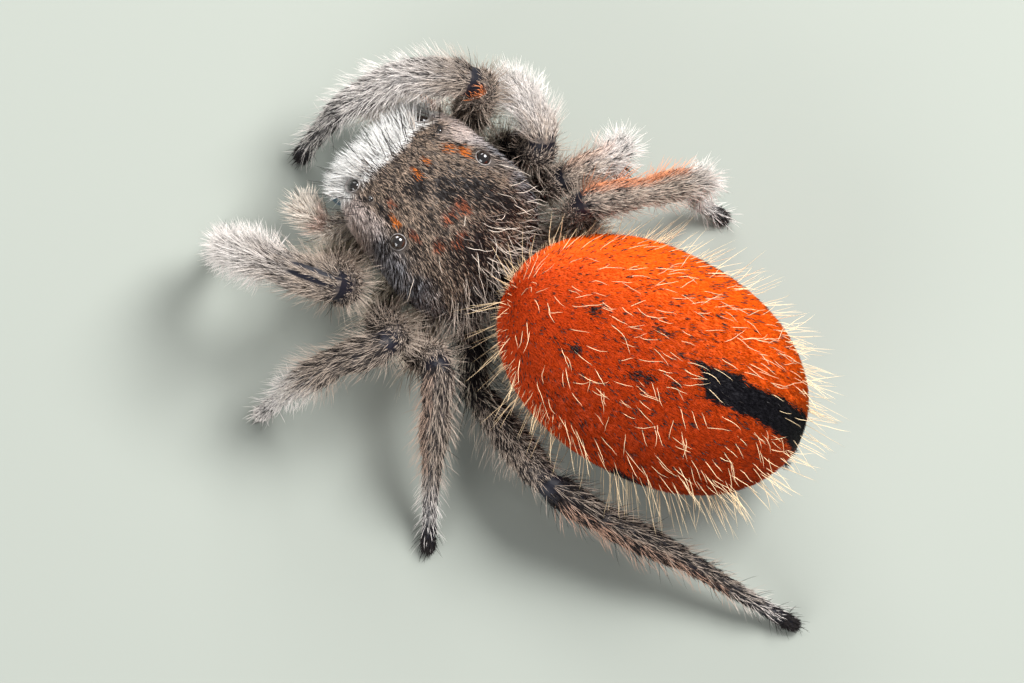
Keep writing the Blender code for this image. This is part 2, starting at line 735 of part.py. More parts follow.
def finish_spider(solids):
    """Turn the meshes into metres and hang them on one empty at the middle of the floor."""
    low = Vector((math.inf,) * 3)
    high = Vector((-math.inf,) * 3)
    for solid, _ in solids:
        for vertex in solid.data.vertices:
            low = Vector(map(min, low, vertex.co))
            high = Vector(map(max, high, vertex.co))
    middle = Vector(((low.x + high.x) / 2, (low.y + high.y) / 2, low.z))
    stand = bpy.data.objects.new("spider", None)
    bpy.context.scene.collection.objects.link(stand)
    stand.location = -middle * MM
    for solid, material in solids:
        solid.data.transform(Matrix.Scale(MM, 4))
        solid.data.materials.clear()
        solid.data.materials.append(material)
        solid.data.shade_smooth()
        solid.data.set_sharp_from_angle(angle=math.radians(50))
        solid.parent = stand


clear_scene()
grey_coat = make_material("grey coat", (0.26, 0.23, 0.20), 0.85)
leg_coat = make_material("leg coat", (0.33, 0.30, 0.27), 0.85)
foot_coat = make_material("foot coat", (0.20, 0.19, 0.19), 0.85)
cream_coat = make_material("cream coat", (0.72, 0.62, 0.50), 0.85)
red_coat = make_material("red coat", (0.80, 0.13, 0.02), 0.80)
dark_skin = make_material("dark skin", (0.05, 0.04, 0.04), 0.50)
eye_lens = make_material("eye lens", (0.01, 0.01, 0.012), 0.05)
jaw_shell = make_material("jaw shell", (0.03, 0.16, 0.16), 0.25, 0.6)

head = build_cephalothorax()
abdomen = build_abdomen()
parts = [(head, grey_coat), (abdomen, red_coat),
         (build_pedicel(), dark_skin), (build_spinnerets(), dark_skin)]
parts += [(eye, eye_lens) for eye in build_eyes()]
parts += [(jaw, jaw_shell) for jaw in build_chelicerae()]
hairy = [build_palp(label) for label in PALP_PATHS]
parts += [(palp, cream_coat) for palp, _, _ in hairy]
for leg_label in LEG_POSES:
    leg = build_leg(leg_label)
    hairy += leg
    parts += [(solid, foot_coat if part == "foot" else leg_coat) for solid, _, part in leg]

trees = {solid.name: surface_tree(solid) for solid, _ in parts}
for solid, frames, part in hairy:
    grow_locks(solid, frames, part, [tree for name, tree in trees.items() if name != solid.name])
    trees[solid.name] = surface_tree(solid)
grow_bristles(abdomen, [tree for name, tree in trees.items() if name != abdomen.name])
head_name = head.name
in_head = ("eye_", head_name)
grow_beard(head, [tree for name, tree in trees.items() if not name.startswith(in_head)])
finish_spider(parts)
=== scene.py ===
"""Desert red jumping spider: skin, coat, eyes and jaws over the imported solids."""

import math
from collections import namedtuple

import bpy
import numpy as np
from mathutils import Matrix, Vector
from mathutils.bvhtree import BVHTree
from mathutils.kdtree import KDTree


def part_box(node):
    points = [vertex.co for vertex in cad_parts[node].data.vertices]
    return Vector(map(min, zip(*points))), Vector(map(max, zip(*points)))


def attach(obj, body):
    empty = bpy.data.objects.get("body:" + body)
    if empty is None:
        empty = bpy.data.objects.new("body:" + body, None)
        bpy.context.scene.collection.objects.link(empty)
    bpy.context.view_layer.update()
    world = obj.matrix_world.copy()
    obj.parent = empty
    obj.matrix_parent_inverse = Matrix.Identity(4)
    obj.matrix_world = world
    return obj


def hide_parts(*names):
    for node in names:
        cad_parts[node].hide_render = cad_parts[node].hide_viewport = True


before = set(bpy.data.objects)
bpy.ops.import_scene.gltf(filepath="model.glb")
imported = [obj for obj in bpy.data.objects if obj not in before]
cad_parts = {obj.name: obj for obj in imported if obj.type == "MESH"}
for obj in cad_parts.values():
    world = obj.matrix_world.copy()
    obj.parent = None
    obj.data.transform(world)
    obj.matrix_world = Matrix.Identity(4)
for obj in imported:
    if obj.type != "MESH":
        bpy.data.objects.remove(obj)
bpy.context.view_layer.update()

# Legs
# Eight jointed walking legs of dark horny skin. Each runs from inside the body over a hip and five
# segments with round bends between them, and is as thick here as its skin, inside the coat.

# Sizes are in millimetres in the spider's own frame: it faces -Y, its left is +X, and zero is the
# point of the floor below the midpoint of its rear pair of eyes, which is found in the frame
MM = 0.001
REAR_EYE_HEIGHT = 3.13
SKY = np.array((0.0, 0.0, 1.0))
SEGMENT_LENGTHS = {
    "1": (3.00, 1.75, 1.75, 1.30, 0.85),
    "2": (2.50, 1.45, 1.20, 1.05, 0.80),
    "3": (1.75, 1.10, 1.25, 1.30, 0.90),
    "4": (2.90, 1.50, 2.35, 2.10, 1.00),
}
LEG_GIRTH = {"1": 1.05, "2": 0.94, "3": 0.88, "4": 0.90}
HIP_ROOT_X = 0.70
HIP_Z = 0.85
HIP_Y = {"1": -0.56, "2": 0.34, "3": 1.24, "4": 2.14}
# End of the hip, then heading and rise in degrees of four segments, and the heading of the foot
LEG_POSES = {
    "left_1": ((2.30, -0.75, 0.95), (128, 68), (25, -4), (3, -57), (-90, -80), -60),
    "left_2": ((2.32, 0.85, 0.95), (133, 66), (61, -24), (72, -40), (76, -86), 80),
    "left_3": ((2.45, 2.00, 0.95), (180, 74), (134, -24), (137, -36), (139, -39), 138),
    "left_4": ((1.95, 3.55, 1.00), (165, 24), (-163, -17), (-157, -15), (-161, -17), -159),
    "right_1": ((-2.38, -0.85, 0.95), (-6, 82), (36, -28), (68, -34), (92, -62), 100),
    "right_2": ((-2.45, 0.02, 0.95), (-172, 67), (-25, -16), (-18, -58), (-60, -78), -120),
    "right_3": ((-2.45, 1.15, 0.76), (-162, 74), (-116, 37), (-91, -48), (-60, -80), 175),
    "right_4": ((-2.40, 2.72, 0.80), (31, 79), (-130, 26), (-113, -39), (-146, -84), -152),
}
SOLE_HEIGHT = 0.16
SOLE_CLEARANCE = 0.015
TIP_OVERRUN = 0.17
BEND_RADIUS = 0.44
BEND_STEPS = 9
COURSE_SPACING = 0.04
# Place along a leg counted in segments from the hip, and the skin's radius there at girth 1
LEG_PROFILE = (
    (0.0, 0.30), (1.0, 0.25), (1.12, 0.29), (1.5, 0.37), (1.85, 0.38), (1.99, 0.31), (2.06, 0.31),
    (2.25, 0.38), (2.6, 0.40), (2.93, 0.34), (3.0, 0.31), (3.12, 0.36), (3.5, 0.37), (3.9, 0.29),
    (4.0, 0.24), (4.12, 0.25), (4.5, 0.22), (4.95, 0.19), (5.05, 0.18), (5.5, 0.19), (6.0, 0.16),
)
rear_eye_corners = [corner for side in ("left", "right")
                    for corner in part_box(f"eye_posterior_lateral_{side}")]
zero_point = np.mean(np.array(rear_eye_corners), axis=0) - REAR_EYE_HEIGHT * MM * SKY


def in_row_frame(points):
    """Millimetres in the spider's frame turned into metres in the row's frame."""
    return np.asarray(points, float) * MM + zero_point


def unit(vectors):
    """Rows of vectors, each with length one."""
    return vectors / np.maximum(np.linalg.norm(vectors, axis=-1, keepdims=True), 1e-9)


def dots(first, second):
    """Dot product of each row of one array with the same row of another."""
    return np.einsum("ij,ij->i", first, second)


def bent_course(joints, bend):
    """Evenly spaced rows along straight lengths with round bends between them."""
    joints = np.array(joints, float)
    steps = np.diff(joints, axis=0)
    lengths = np.linalg.norm(steps, axis=1)
    headings = steps / lengths[:, None]
    points = [joints[0]]
    places = [0.0]
    for k in range(1, len(joints) - 1):
        before, after = headings[k - 1], headings[k]
        turn = math.acos(min(1.0, before @ after))
        inward = unit(after - (before @ after) * before)
        lead = min(bend * math.tan(turn / 2), 0.48 * min(lengths[k - 1], lengths[k]))
        radius = lead / math.tan(turn / 2)
        for share in np.linspace(0.0, 1.0, BEND_STEPS):
            angle = turn * share
            points.append(joints[k] - lead * before + radius * math.sin(angle) * before
                          + radius * (1 - math.cos(angle)) * inward)
            span = lengths[k - 1] if share < 0.5 else lengths[k]
            places.append(k + (2 * share - 1) * lead / span)
    points = np.array(points + [joints[-1]])
    places.append(len(joints) - 1.0)
    along = np.concatenate(([0.0], np.cumsum(np.linalg.norm(np.diff(points, axis=0), axis=1))))
    even = np.linspace(0.0, along[-1], int(along[-1] / COURSE_SPACING) + 2)
    centre = np.stack([np.interp(even, along, points[:, axis]) for axis in range(3)], axis=1)
    heading = unit(np.gradient(centre, axis=0))
    across = np.empty_like(centre)
    turned = SKY if abs(heading[0, 2]) < 0.9 else np.array((1.0, 0.0, 0.0))
    for i, direction in enumerate(heading):
        turned = unit(turned - (turned @ direction) * direction)
        across[i] = turned
    return {"centre": centre, "heading": heading, "across": across, "beside": np.cross(heading, across),
            "place": np.interp(even, along, places), "along": even}


def leg_course(label):
    """The middle line of one leg from inside the body to its tip."""
    number = label[-1]
    side = 1 if label.startswith("left") else -1
    hip_end, *turns, foot_heading = LEG_POSES[label]
    joints = [np.array((side * HIP_ROOT_X, HIP_Y[number], HIP_Z)), np.array(hip_end)]
    for length, (heading, rise) in zip(SEGMENT_LENGTHS[number], turns):
        level = math.cos(math.radians(rise))
        joints.append(joints[-1] + length * np.array((level * math.sin(math.radians(heading)),
                                                      -level * math.cos(math.radians(heading)),
                                                      math.sin(math.radians(rise)))))
    drop = joints[-1][2] - SOLE_HEIGHT
    level = math.sqrt(SEGMENT_LENGTHS[number][-1] ** 2 - drop ** 2)
    turn = math.radians(foot_heading)
    joints.append(joints[-1] + np.array((level * math.sin(turn), -level * math.cos(turn), -drop)))
    joints[-1] = joints[-1] + TIP_OVERRUN * unit(joints[-1] - joints[-2])
    return bent_course(joints, BEND_RADIUS * LEG_GIRTH[number])


def course_rows(course, u):
    """The rows of a middle line at shares u of its length."""
    distance = np.asarray(u) * course["along"][-1]
    rows = {key: np.stack([np.interp(distance, course["along"], course[key][:, axis])
                           for axis in range(3)], axis=1)
            for key in ("centre", "heading", "across", "beside")}
    for key in ("place", "radius"):
        rows[key] = np.interp(distance, course["along"], course[key])
    rows["left"] = course["along"][-1] - distance
    return rows


def limb_shape(course):
    """Surface of a limb: u runs along it and v round it, and its end is round."""
    def shape(u, v):
        rows = course_rows(course, u)
        rounding = np.clip(rows["left"] / np.maximum(rows["radius"], 1e-6), 0.0, 1.0)
        radius = rows["radius"] * np.sqrt(np.clip(1 - (1 - rounding) ** 2, 0.0, 1.0))
        angle = 2 * math.pi * np.asarray(v)
        points = rows["centre"] + radius[:, None] * (np.cos(angle)[:, None] * rows["across"]
                                                     + np.sin(angle)[:, None] * rows["beside"])
        points[:, 2] = np.maximum(points[:, 2], SOLE_CLEARANCE)
        return points

    return shape


courses = {}
shapes = {}


def add_limb(name, course, profile, girth=1.0):
    """Keep a limb's middle line with its thickness, and its surface."""
    places, radii = np.array(profile).T
    course["radius"] = girth * np.interp(course["place"], places, radii)
    courses[name] = course
    shapes[name] = limb_shape(course)


for label in LEG_POSES:
    add_limb("leg_" + label, leg_course(label), LEG_PROFILE, LEG_GIRTH[label[-1]])

# Skin and hair take their markings from the same node groups, by their place on the skin. A map
# named mark holds the place along a leg and how far a point faces up, or the place in plan, and a
# map named side holds the third number of the place
MARK_SPAN = 6.0


class Graph:
    """A node tree being wired, with each call adding one node and returning its output."""

    def __init__(self, tree):
        self.tree = tree

    def node(self, kind, inputs=(), **settings):
        made = self.tree.nodes.new(kind)
        for key, value in settings.items():
            setattr(made, key, value)
        for socket, value in dict(inputs).items():
            if isinstance(value, bpy.types.NodeSocket):
                self.tree.links.new(value, made.inputs[socket])
            else:
                made.inputs[socket].default_value = value
        return made

    def math(self, operation, *values, clamp=False):
        return self.node("ShaderNodeMath", enumerate(values), operation=operation,
                         use_clamp=clamp).outputs[0]

    def times(self, first, second, clamp=False):
        return self.math("MULTIPLY", first, second, clamp=clamp)

    def sum(self, *terms):
        """The sum of values, where a pair of values stands for its product."""
        total = 0.0
        for term in terms:
            if isinstance(term, tuple):
                total = self.math("MULTIPLY_ADD", term[0], term[1], total)
            else:
                total = self.math("ADD", total, term)
        return total

    def blend(self, share, first, second):
        """Colour between two colours."""
        first, second = [value if isinstance(value, bpy.types.NodeSocket) else (*value, 1.0)
                         for value in (first, second)]
        return self.node("ShaderNodeMix", {0: share, 6: first, 7: second}, data_type="RGBA").outputs[2]

    def between(self, share, first, second):
        """Number between two numbers."""
        return self.node("ShaderNodeMix", {0: share, 2: first, 3: second}, data_type="FLOAT").outputs[0]

    def dim(self, colour, factor):
        return self.node("ShaderNodeVectorMath", {0: colour, 3: factor}, operation="SCALE").outputs[0]

    def step(self, value, low, high):
        """0 at low and before it, 1 at high and beyond, and smooth between."""
        return self.node("ShaderNodeMapRange", {0: value, 1: low, 2: high},
                         interpolation_type="SMOOTHSTEP").outputs[0]

    def cloud(self, vector, scale, detail=2.0):
        """Noise about zero."""
        found = self.node("ShaderNodeTexNoise", {"Vector": vector, "Scale": scale, "Detail": detail})
        return self.math("SUBTRACT", found.outputs["Fac"], 0.5)

    def map(self, name):
        """Both numbers of a named map on the mesh."""
        found = self.node("ShaderNodeUVMap", uv_map=name).outputs[0]
        split = self.node("ShaderNodeSeparateXYZ", {0: found})
        return split.outputs[0], split.outputs[1]

    def marks(self):
        """The three numbers of the place on the skin, and all three as one vector."""
        first, second = self.map("mark")
        third, _ = self.map("side")
        vector = self.node("ShaderNodeCombineXYZ", {0: first, 1: second, 2: third}).outputs[0]
        return first, second, third, vector

    def spot(self, x, y, centre, radii):
        """1 at a point, falling to 0 at an ellipse round it."""
        aside = self.math("DIVIDE", self.math("SUBTRACT", x, centre[0]), radii[0])
        along = self.math("DIVIDE", self.math("SUBTRACT", y, centre[1]), radii[1])
        return self.math("SUBTRACT", 1.0, self.sum((aside, aside), (along, along)), clamp=True)

    def mottle(self, scale, first, second, low=-0.2):
        """Colour that wanders over an object between two colours."""
        share = self.step(self.cloud(self.position(), scale), low, 0.2)
        return self.blend(share, first, second)

    def position(self):
        """The place in an object's own space."""
        return self.node("ShaderNodeTexCoord").outputs["Object"]


def marking_group(name, inputs, outputs):
    """Empty node group with named sockets, the graph to fill it, and its two ends."""
    tree = bpy.data.node_groups.new(name, "ShaderNodeTree")
    for socket, value in inputs.items():
        kind = "NodeSocketFloat" if isinstance(value, float) else "NodeSocketColor"
        made = tree.interface.new_socket(socket, in_out="INPUT", socket_type=kind)
        made.default_value = value if isinstance(value, float) else (*value, 1.0)
    for socket in outputs:
        kind = "NodeSocketFloat" if socket in ("Dark Share", "Black") else "NodeSocketColor"
        tree.interface.new_socket(socket, in_out="OUTPUT", socket_type=kind)
    start = tree.nodes.new("NodeGroupInput").outputs if inputs else None
    return tree, Graph(tree), start, tree.nodes.new("NodeGroupOutput").inputs


def send_out(graph, end, **values):
    """Wire values to the outputs of a group."""
    for socket, value in values.items():
        graph.tree.links.new(value, end[socket.replace("_", " ")])


# Streaks of beige and black, bare slate bands at the knees, rusty edges and dark feet
LEG_BEIGE = (0.47, 0.38, 0.31)
LEG_WHITE = (0.80, 0.74, 0.70)
LEG_CREAM = (0.68, 0.60, 0.47)
LEG_BLACK = (0.022, 0.018, 0.018)
LEG_SLATE = (0.009, 0.009, 0.015)
LEG_ORANGE = (0.80, 0.23, 0.06)
# Share of dark hairs on hip, thigh, shank, foot and tip, the place where white starts, then the
# orange: how much, how far it faces up and to the side, and from which place to which, and last
# whether the shank has two bare stripes
LEG_LOOKS = {
    "left_1": (0.25, 0.55, 0.27, 0.08, 0.97, 2.6, 0.0, 0.5, 0.5, 0.0, 0.0, 1.0),
    "left_2": (0.35, 0.58, 0.53, 0.12, 0.30, 3.4, 0.0, 0.5, 0.5, 0.0, 0.0, 0.0),
    "left_3": (0.40, 0.45, 0.54, 0.54, 0.97, 4.2, 0.12, 0.2, 0.9, 2.1, 4.2, 0.0),
    "left_4": (0.85, 0.60, 0.70, 0.66, 0.97, 4.6, 0.26, 0.2, 0.9, 2.2, 4.6, 0.0),
    "right_1": (0.40, 0.42, 0.18, 0.55, 0.97, 2.2, 0.90, 0.4, -0.8, 1.9, 2.06, 0.0),
    "right_2": (0.22, 0.62, 0.07, 0.04, 0.97, 2.1, 0.0, 0.5, 0.5, 0.0, 0.0, 0.0),
    "right_3": (0.08, 0.48, 0.18, 0.08, 0.97, 2.6, 0.15, 0.3, -0.8, 2.1, 3.2, 0.0),
    "right_4": (0.12, 0.50, 0.26, 0.10, 0.55, 3.4, 0.70, 0.3, -0.8, 2.05, 3.6, 0.0),
}
LEG_INPUTS = ("Hip", "Thigh", "Shank", "Foot", "Tip", "White From", "Orange", "Orange Up", "Orange Side",
              "Orange From", "Orange To", "Stripes")
TIP_COLUMN = LEG_INPUTS.index("Tip")
KNEE_PLACE = 2.03
KNEE_HALF = 0.05
HIP_END = 1.1
# Place and side from -1 to 1 of the bare stripes, and their half sizes
BARE_STRIPES = (((2.42, 0.22), (0.38, 0.14)), ((2.48, -0.32), (0.32, 0.15)))
leg_group, graph, start, end = marking_group(
    "leg_marks", {socket: 0.5 for socket in LEG_INPUTS}, ("Pale", "Dark Share", "Skin"))
first, up, aside, vector = graph.marks()
place = graph.times(first, MARK_SPAN)
up = graph.sum((up, 2.0), -1.0)
aside = graph.sum((aside, 2.0), -1.0)
stretched = graph.node("ShaderNodeVectorMath", {0: vector, 1: (21.0, 6.4, 6.4)}, operation="MULTIPLY")
streak = graph.cloud(stretched.outputs[0], 1.0, 3.0)
patch = graph.cloud(vector, 9.0)
share = graph.between(graph.step(place, 1.9, 2.15), start["Thigh"], start["Shank"])
share = graph.between(graph.step(graph.sum(place, patch), 3.35, 4.1), share, start["Foot"])
share = graph.sum(share, (graph.spot(place, 0.0, (2.14, 0.0), (0.14, 1.0)), 0.30),
                  (graph.spot(place, 0.0, (3.02, 0.0), (0.16, 1.0)), -0.16), (streak, 1.3), (patch, 0.35))
share = graph.between(graph.step(graph.sum(place, (patch, 0.5)), 5.2, 5.55), share, start["Tip"])
whiteness = graph.step(graph.math("SUBTRACT", graph.sum(place, patch), start["White From"]), -0.2, 0.8)
pale = graph.blend(whiteness, LEG_BEIGE, LEG_WHITE)
near = graph.sum((up, start["Orange Up"]), (aside, start["Orange Side"]), (patch, 0.8))
orange = graph.times(graph.step(near, 0.40, 0.80), start["Orange"])
orange = graph.times(orange, graph.math("GREATER_THAN", place, start["Orange From"]))
orange = graph.times(orange, graph.math("LESS_THAN", place, start["Orange To"]))
pale = graph.blend(orange, pale, LEG_ORANGE)
hip = graph.step(graph.sum(place, patch), HIP_END + 0.15, HIP_END - 0.15)
pale = graph.blend(hip, pale, LEG_CREAM)
share = graph.between(hip, share, start["Hip"])
bare = graph.spot(place, 0.0, (KNEE_PLACE, 0.0), (1.6 * KNEE_HALF, 1.0))
for centre, radii in BARE_STRIPES:
    stripe = graph.times(graph.spot(place, aside, centre, radii), start["Stripes"])
    bare = graph.math("MAXIMUM", bare, stripe)
skin_tone = graph.blend(graph.math("ADD", share, 0.18, clamp=True), graph.dim(pale, 0.5), LEG_SLATE)
skin_tone = graph.blend(graph.times(bare, 3.0, clamp=True), skin_tone, LEG_SLATE)
send_out(graph, end, Pale=pale, Dark_Share=share, Skin=skin_tone)

# Feelers
# A pair of short hairy limbs of soft skin beside the jaws. They hang from the front of the breast
# and bend down at their ends.
PALP_PATHS = {
    "left": ((1.05, -0.95, 1.28), (1.86, -1.36, 1.55), (2.00, -1.95, 1.70), (1.72, -2.12, 1.00)),
    "right": ((-1.34, -1.05, 1.28), (-1.82, -1.46, 1.52), (-1.55, -2.20, 1.50), (-0.85, -2.75, 0.95)),
}
PALP_BEND_RADIUS = 0.32
PALP_PROFILE = ((0.0, 0.18), (0.6, 0.17), (1.0, 0.20), (1.5, 0.22), (2.0, 0.22), (2.5, 0.26), (3.0, 0.20))
for side, path in PALP_PATHS.items():
    add_limb("palp_" + side, bent_course(path, PALP_BEND_RADIUS), PALP_PROFILE)

# Cream, with a pink-brown patch on the upper half
PALP_CREAM = (0.80, 0.71, 0.62)
PALP_PINK = (0.50, 0.24, 0.18)
PALP_DARK = (0.20, 0.14, 0.11)
palp_group, graph, start, end = marking_group("palp_marks", {}, ("Pale", "Dark Share", "Skin"))
first, up, aside, vector = graph.marks()
patch = graph.cloud(vector, 8.0)
place = graph.times(first, MARK_SPAN)
pink = graph.step(graph.sum(graph.spot(place, up, (1.3, 0.85), (0.35, 0.4)), patch), 0.3, 0.8)
pale = graph.blend(graph.times(pink, 0.45), PALP_CREAM, PALP_PINK)
send_out(graph, end, Pale=pale, Dark_Share=graph.sum(0.08, (patch, 0.5)), Skin=graph.dim(pale, 0.5))

# Carapace and breast plate
# The horny shell over head and thorax, given by half width, lower edge and top at places along the
# body. The breast plate closes it below, between the hips.
CARAPACE_STATIONS = (
    (-2.00, 0.75, 2.15, 2.72), (-1.85, 1.12, 2.05, 2.93), (-1.60, 1.46, 1.98, 3.10),
    (-1.20, 1.70, 1.88, 3.26), (-0.60, 1.82, 1.52, 3.39), (0.20, 1.90, 1.50, 3.42),
    (0.90, 1.95, 1.50, 3.26), (1.50, 1.80, 1.50, 2.88), (2.00, 1.46, 1.50, 2.34),
    (2.30, 1.10, 1.52, 1.98), (2.45, 0.75, 1.56, 1.80),
)
CARAPACE_COAT = 0.08
SHELL_BOXINESS = 2.6
STERNUM_STATIONS = (
    (-1.05, 0.40, 0.75, 1.50), (-0.80, 0.80, 0.58, 1.70), (0.0, 0.93, 0.50, 1.80),
    (1.2, 0.93, 0.50, 1.80), (2.0, 0.80, 0.55, 1.75), (2.32, 0.40, 0.70, 1.60),
)


def station_shape(stations, coat):
    """Surface through stations along the body: u runs to the rear and v round the body."""
    rows = np.array(stations)
    places = rows[:, 0]
    slopes = np.gradient(rows, places, axis=0)
    first, last = places[0] + coat, places[-1] - coat

    def shape(u, v):
        y = first + np.asarray(u) * (last - first)
        k = np.clip(np.searchsorted(places, y) - 1, 0, len(places) - 2)
        span = places[k + 1] - places[k]
        t = ((y - places[k]) / span)[:, None]
        span = span[:, None]
        value = ((1 + 2 * t) * (1 - t) ** 2 * rows[k] + t * t * (3 - 2 * t) * rows[k + 1]
                 + t * (1 - t) ** 2 * span * slopes[k] + t * t * (t - 1) * span * slopes[k + 1])
        half = value[:, 1] - coat
        middle = (value[:, 2] + value[:, 3]) / 2
        rise = (value[:, 3] - value[:, 2]) / 2 - coat
        angle = 2 * math.pi * np.asarray(v)
        power = 2.0 / SHELL_BOXINESS
        across = np.sign(np.cos(angle)) * np.abs(np.cos(angle)) ** power
        above = np.sign(np.sin(angle)) * np.abs(np.sin(angle)) ** power
        return np.stack([half * across, y, middle + rise * above], axis=1)

    return shape


shapes["carapace"] = station_shape(CARAPACE_STATIONS, CARAPACE_COAT)
shapes["sternum"] = station_shape(STERNUM_STATIONS, 0.0)

# Grey-brown with rust patches, orange tufts, blue-grey flanks and a white face, and darker to the rear,
# partly by darker hair and partly by painted shade of the steep rear slope
SHELL_BROWN = (0.46, 0.345, 0.26)
SHELL_RUST = (0.52, 0.11, 0.03)
SHELL_ORANGE = (0.95, 0.26, 0.03)
SHELL_CHEEK = (0.82, 0.69, 0.63)
SHELL_FLANK = (0.42, 0.41, 0.43)
SHELL_WHITE = (0.93, 0.915, 0.89)
SHELL_DARK = (0.024, 0.019, 0.018)
# Place in plan and the two half sizes
ORANGE_TUFTS = (((0.0, -0.85), (0.14, 0.19)), ((-0.92, -0.79), (0.17, 0.15)),
                ((-1.13, -0.49), (0.15, 0.22)), ((1.11, -0.45), (0.12, 0.22)),
                ((-0.35, -0.93), (0.10, 0.10)))
RUST_PATCHES = (((-0.22, 0.35), (0.22, 0.30)), ((0.18, 0.34), (0.30, 0.15)), ((1.05, 0.10), (0.12, 0.20)),
                ((0.35, 0.85), (0.30, 0.22)), ((0.80, 0.62), (0.20, 0.16)), ((0.87, -0.78), (0.10, 0.16)))
# Dark patches in plan with their half sizes; the last two, large ones on the rear slope, are partly darker
# hair and partly painted shade
DARK_PATCHES = (((0.25, -0.62), (0.35, 0.30)), ((-0.30, -0.12), (0.50, 0.42)),
                ((-0.75, 0.35), (0.45, 0.45)), ((-0.22, -0.75), (0.12, 0.12)),
                ((-0.9, 1.0), (0.6, 0.5)), ((0.3, 1.3), (0.9, 0.6)))
shell_group, graph, start, end = marking_group("shell_marks", {}, ("Pale", "Dark Share", "Skin"))
first, second, third, vector = graph.marks()
x = graph.sum((first, MARK_SPAN), -0.5 * MARK_SPAN)
y = graph.sum((second, MARK_SPAN), -0.5 * MARK_SPAN)
height = graph.times(third, MARK_SPAN)
patch = graph.cloud(vector, 13.0)
fine = graph.cloud(vector, 50.0)
front = graph.step(graph.sum(y, (patch, 0.6)), -0.1, -0.8)
flank = graph.step(graph.sum(graph.math("ABSOLUTE", x), (patch, 0.8), (front, 0.32)), 1.32, 1.78)
pale = graph.blend(flank, SHELL_BROWN, graph.blend(front, SHELL_FLANK, SHELL_CHEEK))
for patches, tint, strength, low, high in ((RUST_PATCHES, SHELL_RUST, 0.8, 0.15, 0.75),
                                           (ORANGE_TUFTS, SHELL_ORANGE, 0.95, 0.2, 0.6)):
    for centre, radii in patches:
        found = graph.times(graph.spot(x, y, centre, radii), graph.sum((fine, 3.0), 1.1))
        pale = graph.blend(graph.times(graph.step(found, low, high), strength), pale, tint)
face = graph.step(graph.sum(y, (patch, 0.3)), -1.42, -1.60)
pale = graph.blend(face, pale, SHELL_WHITE)
cheek = graph.times(flank, front)
share = graph.sum(0.50, (patch, 0.5), (fine, 0.5), (face, -0.50), (cheek, -0.38))
# Darker to the rear, partly darker hair and partly painted shade of the steep rear slope, and darker low
# on the sides
share = graph.sum(share, (graph.step(y, 1.5, 2.2), 0.35), (graph.step(height, 2.2, 1.6), 0.15))
for centre, radii in DARK_PATCHES:
    share = graph.sum(share, (graph.spot(x, y, centre, radii), 0.40))
skin_tone = graph.blend(graph.math("ADD", share, 0.22, clamp=True), graph.dim(pale, 0.5), SHELL_DARK)
send_out(graph, end, Pale=pale, Dark_Share=share, Skin=skin_tone)

# Abdomen
# A soft full egg of skin that swings a little to the spider's right, rounder above than below. Its
# skin lies just inside the velvet.
ABDOMEN_CENTRE = np.array((-0.90, 5.94, 2.72))
ABDOMEN_YAW = math.radians(17.0)
ABDOMEN_HALF_LENGTH = 3.70
ABDOMEN_HALF_WIDTH = 2.60
ABDOMEN_TOP_HEIGHT = 2.10
ABDOMEN_BELLY_DEPTH = 1.80
ABDOMEN_FULLNESS = 2.15
ABDOMEN_COAT = 0.03
ABDOMEN_BACK = np.array((-math.sin(ABDOMEN_YAW), math.cos(ABDOMEN_YAW), 0.0))
ABDOMEN_LEFT = np.array((math.cos(ABDOMEN_YAW), math.sin(ABDOMEN_YAW), 0.0))


def abdomen_shape(u, v):
    """Surface of the abdomen: u runs from its front pole to its rear one and v round it."""
    place = -np.cos(math.pi * np.asarray(u))
    swell = np.sqrt(np.clip(1 - np.abs(place) ** ABDOMEN_FULLNESS, 0.0, 1.0))
    angle = 2 * math.pi * np.asarray(v)
    height = np.where(np.sin(angle) > 0, ABDOMEN_TOP_HEIGHT, ABDOMEN_BELLY_DEPTH) - ABDOMEN_COAT
    return (ABDOMEN_CENTRE + (place * (ABDOMEN_HALF_LENGTH - ABDOMEN_COAT))[:, None] * ABDOMEN_BACK
            + (swell * (ABDOMEN_HALF_WIDTH - ABDOMEN_COAT) * np.cos(angle))[:, None] * ABDOMEN_LEFT
            + (swell * height * np.sin(angle))[:, None] * SKY)


shapes["abdomen"] = abdomen_shape

# Orange on its right to deep red on its left, with a black stripe, spots and belly
ABDOMEN_ORANGE = (0.92, 0.125, 0.001)
ABDOMEN_RED = (0.47, 0.043, 0.001)
ABDOMEN_BLACK = (0.007, 0.006, 0.009)
STRIPE_MIDDLE = 0.19
STRIPE_SLANT = -0.255
STRIPE_HALF_WIDTH = 0.145
# Place along and across from -1 to 1, and the two half sizes
STRIPE_LOBES = (((0.43, -0.07), (0.045, 0.05)), ((0.16, 0.02), (0.05, 0.03)))
ABDOMEN_SPOTS = (
    ((-0.53, 0.03), (0.045, 0.06)), ((-0.52, 0.38), (0.045, 0.06)), ((-0.14, -0.06), (0.05, 0.05)),
    ((-0.08, -0.08), (0.04, 0.04)), ((-0.14, 0.36), (0.05, 0.06)), ((-0.06, 0.33), (0.05, 0.06)),
    ((-0.07, 0.43), (0.03, 0.03)), ((0.05, 0.03), (0.04, 0.04)), ((0.10, 0.27), (0.04, 0.04)),
)
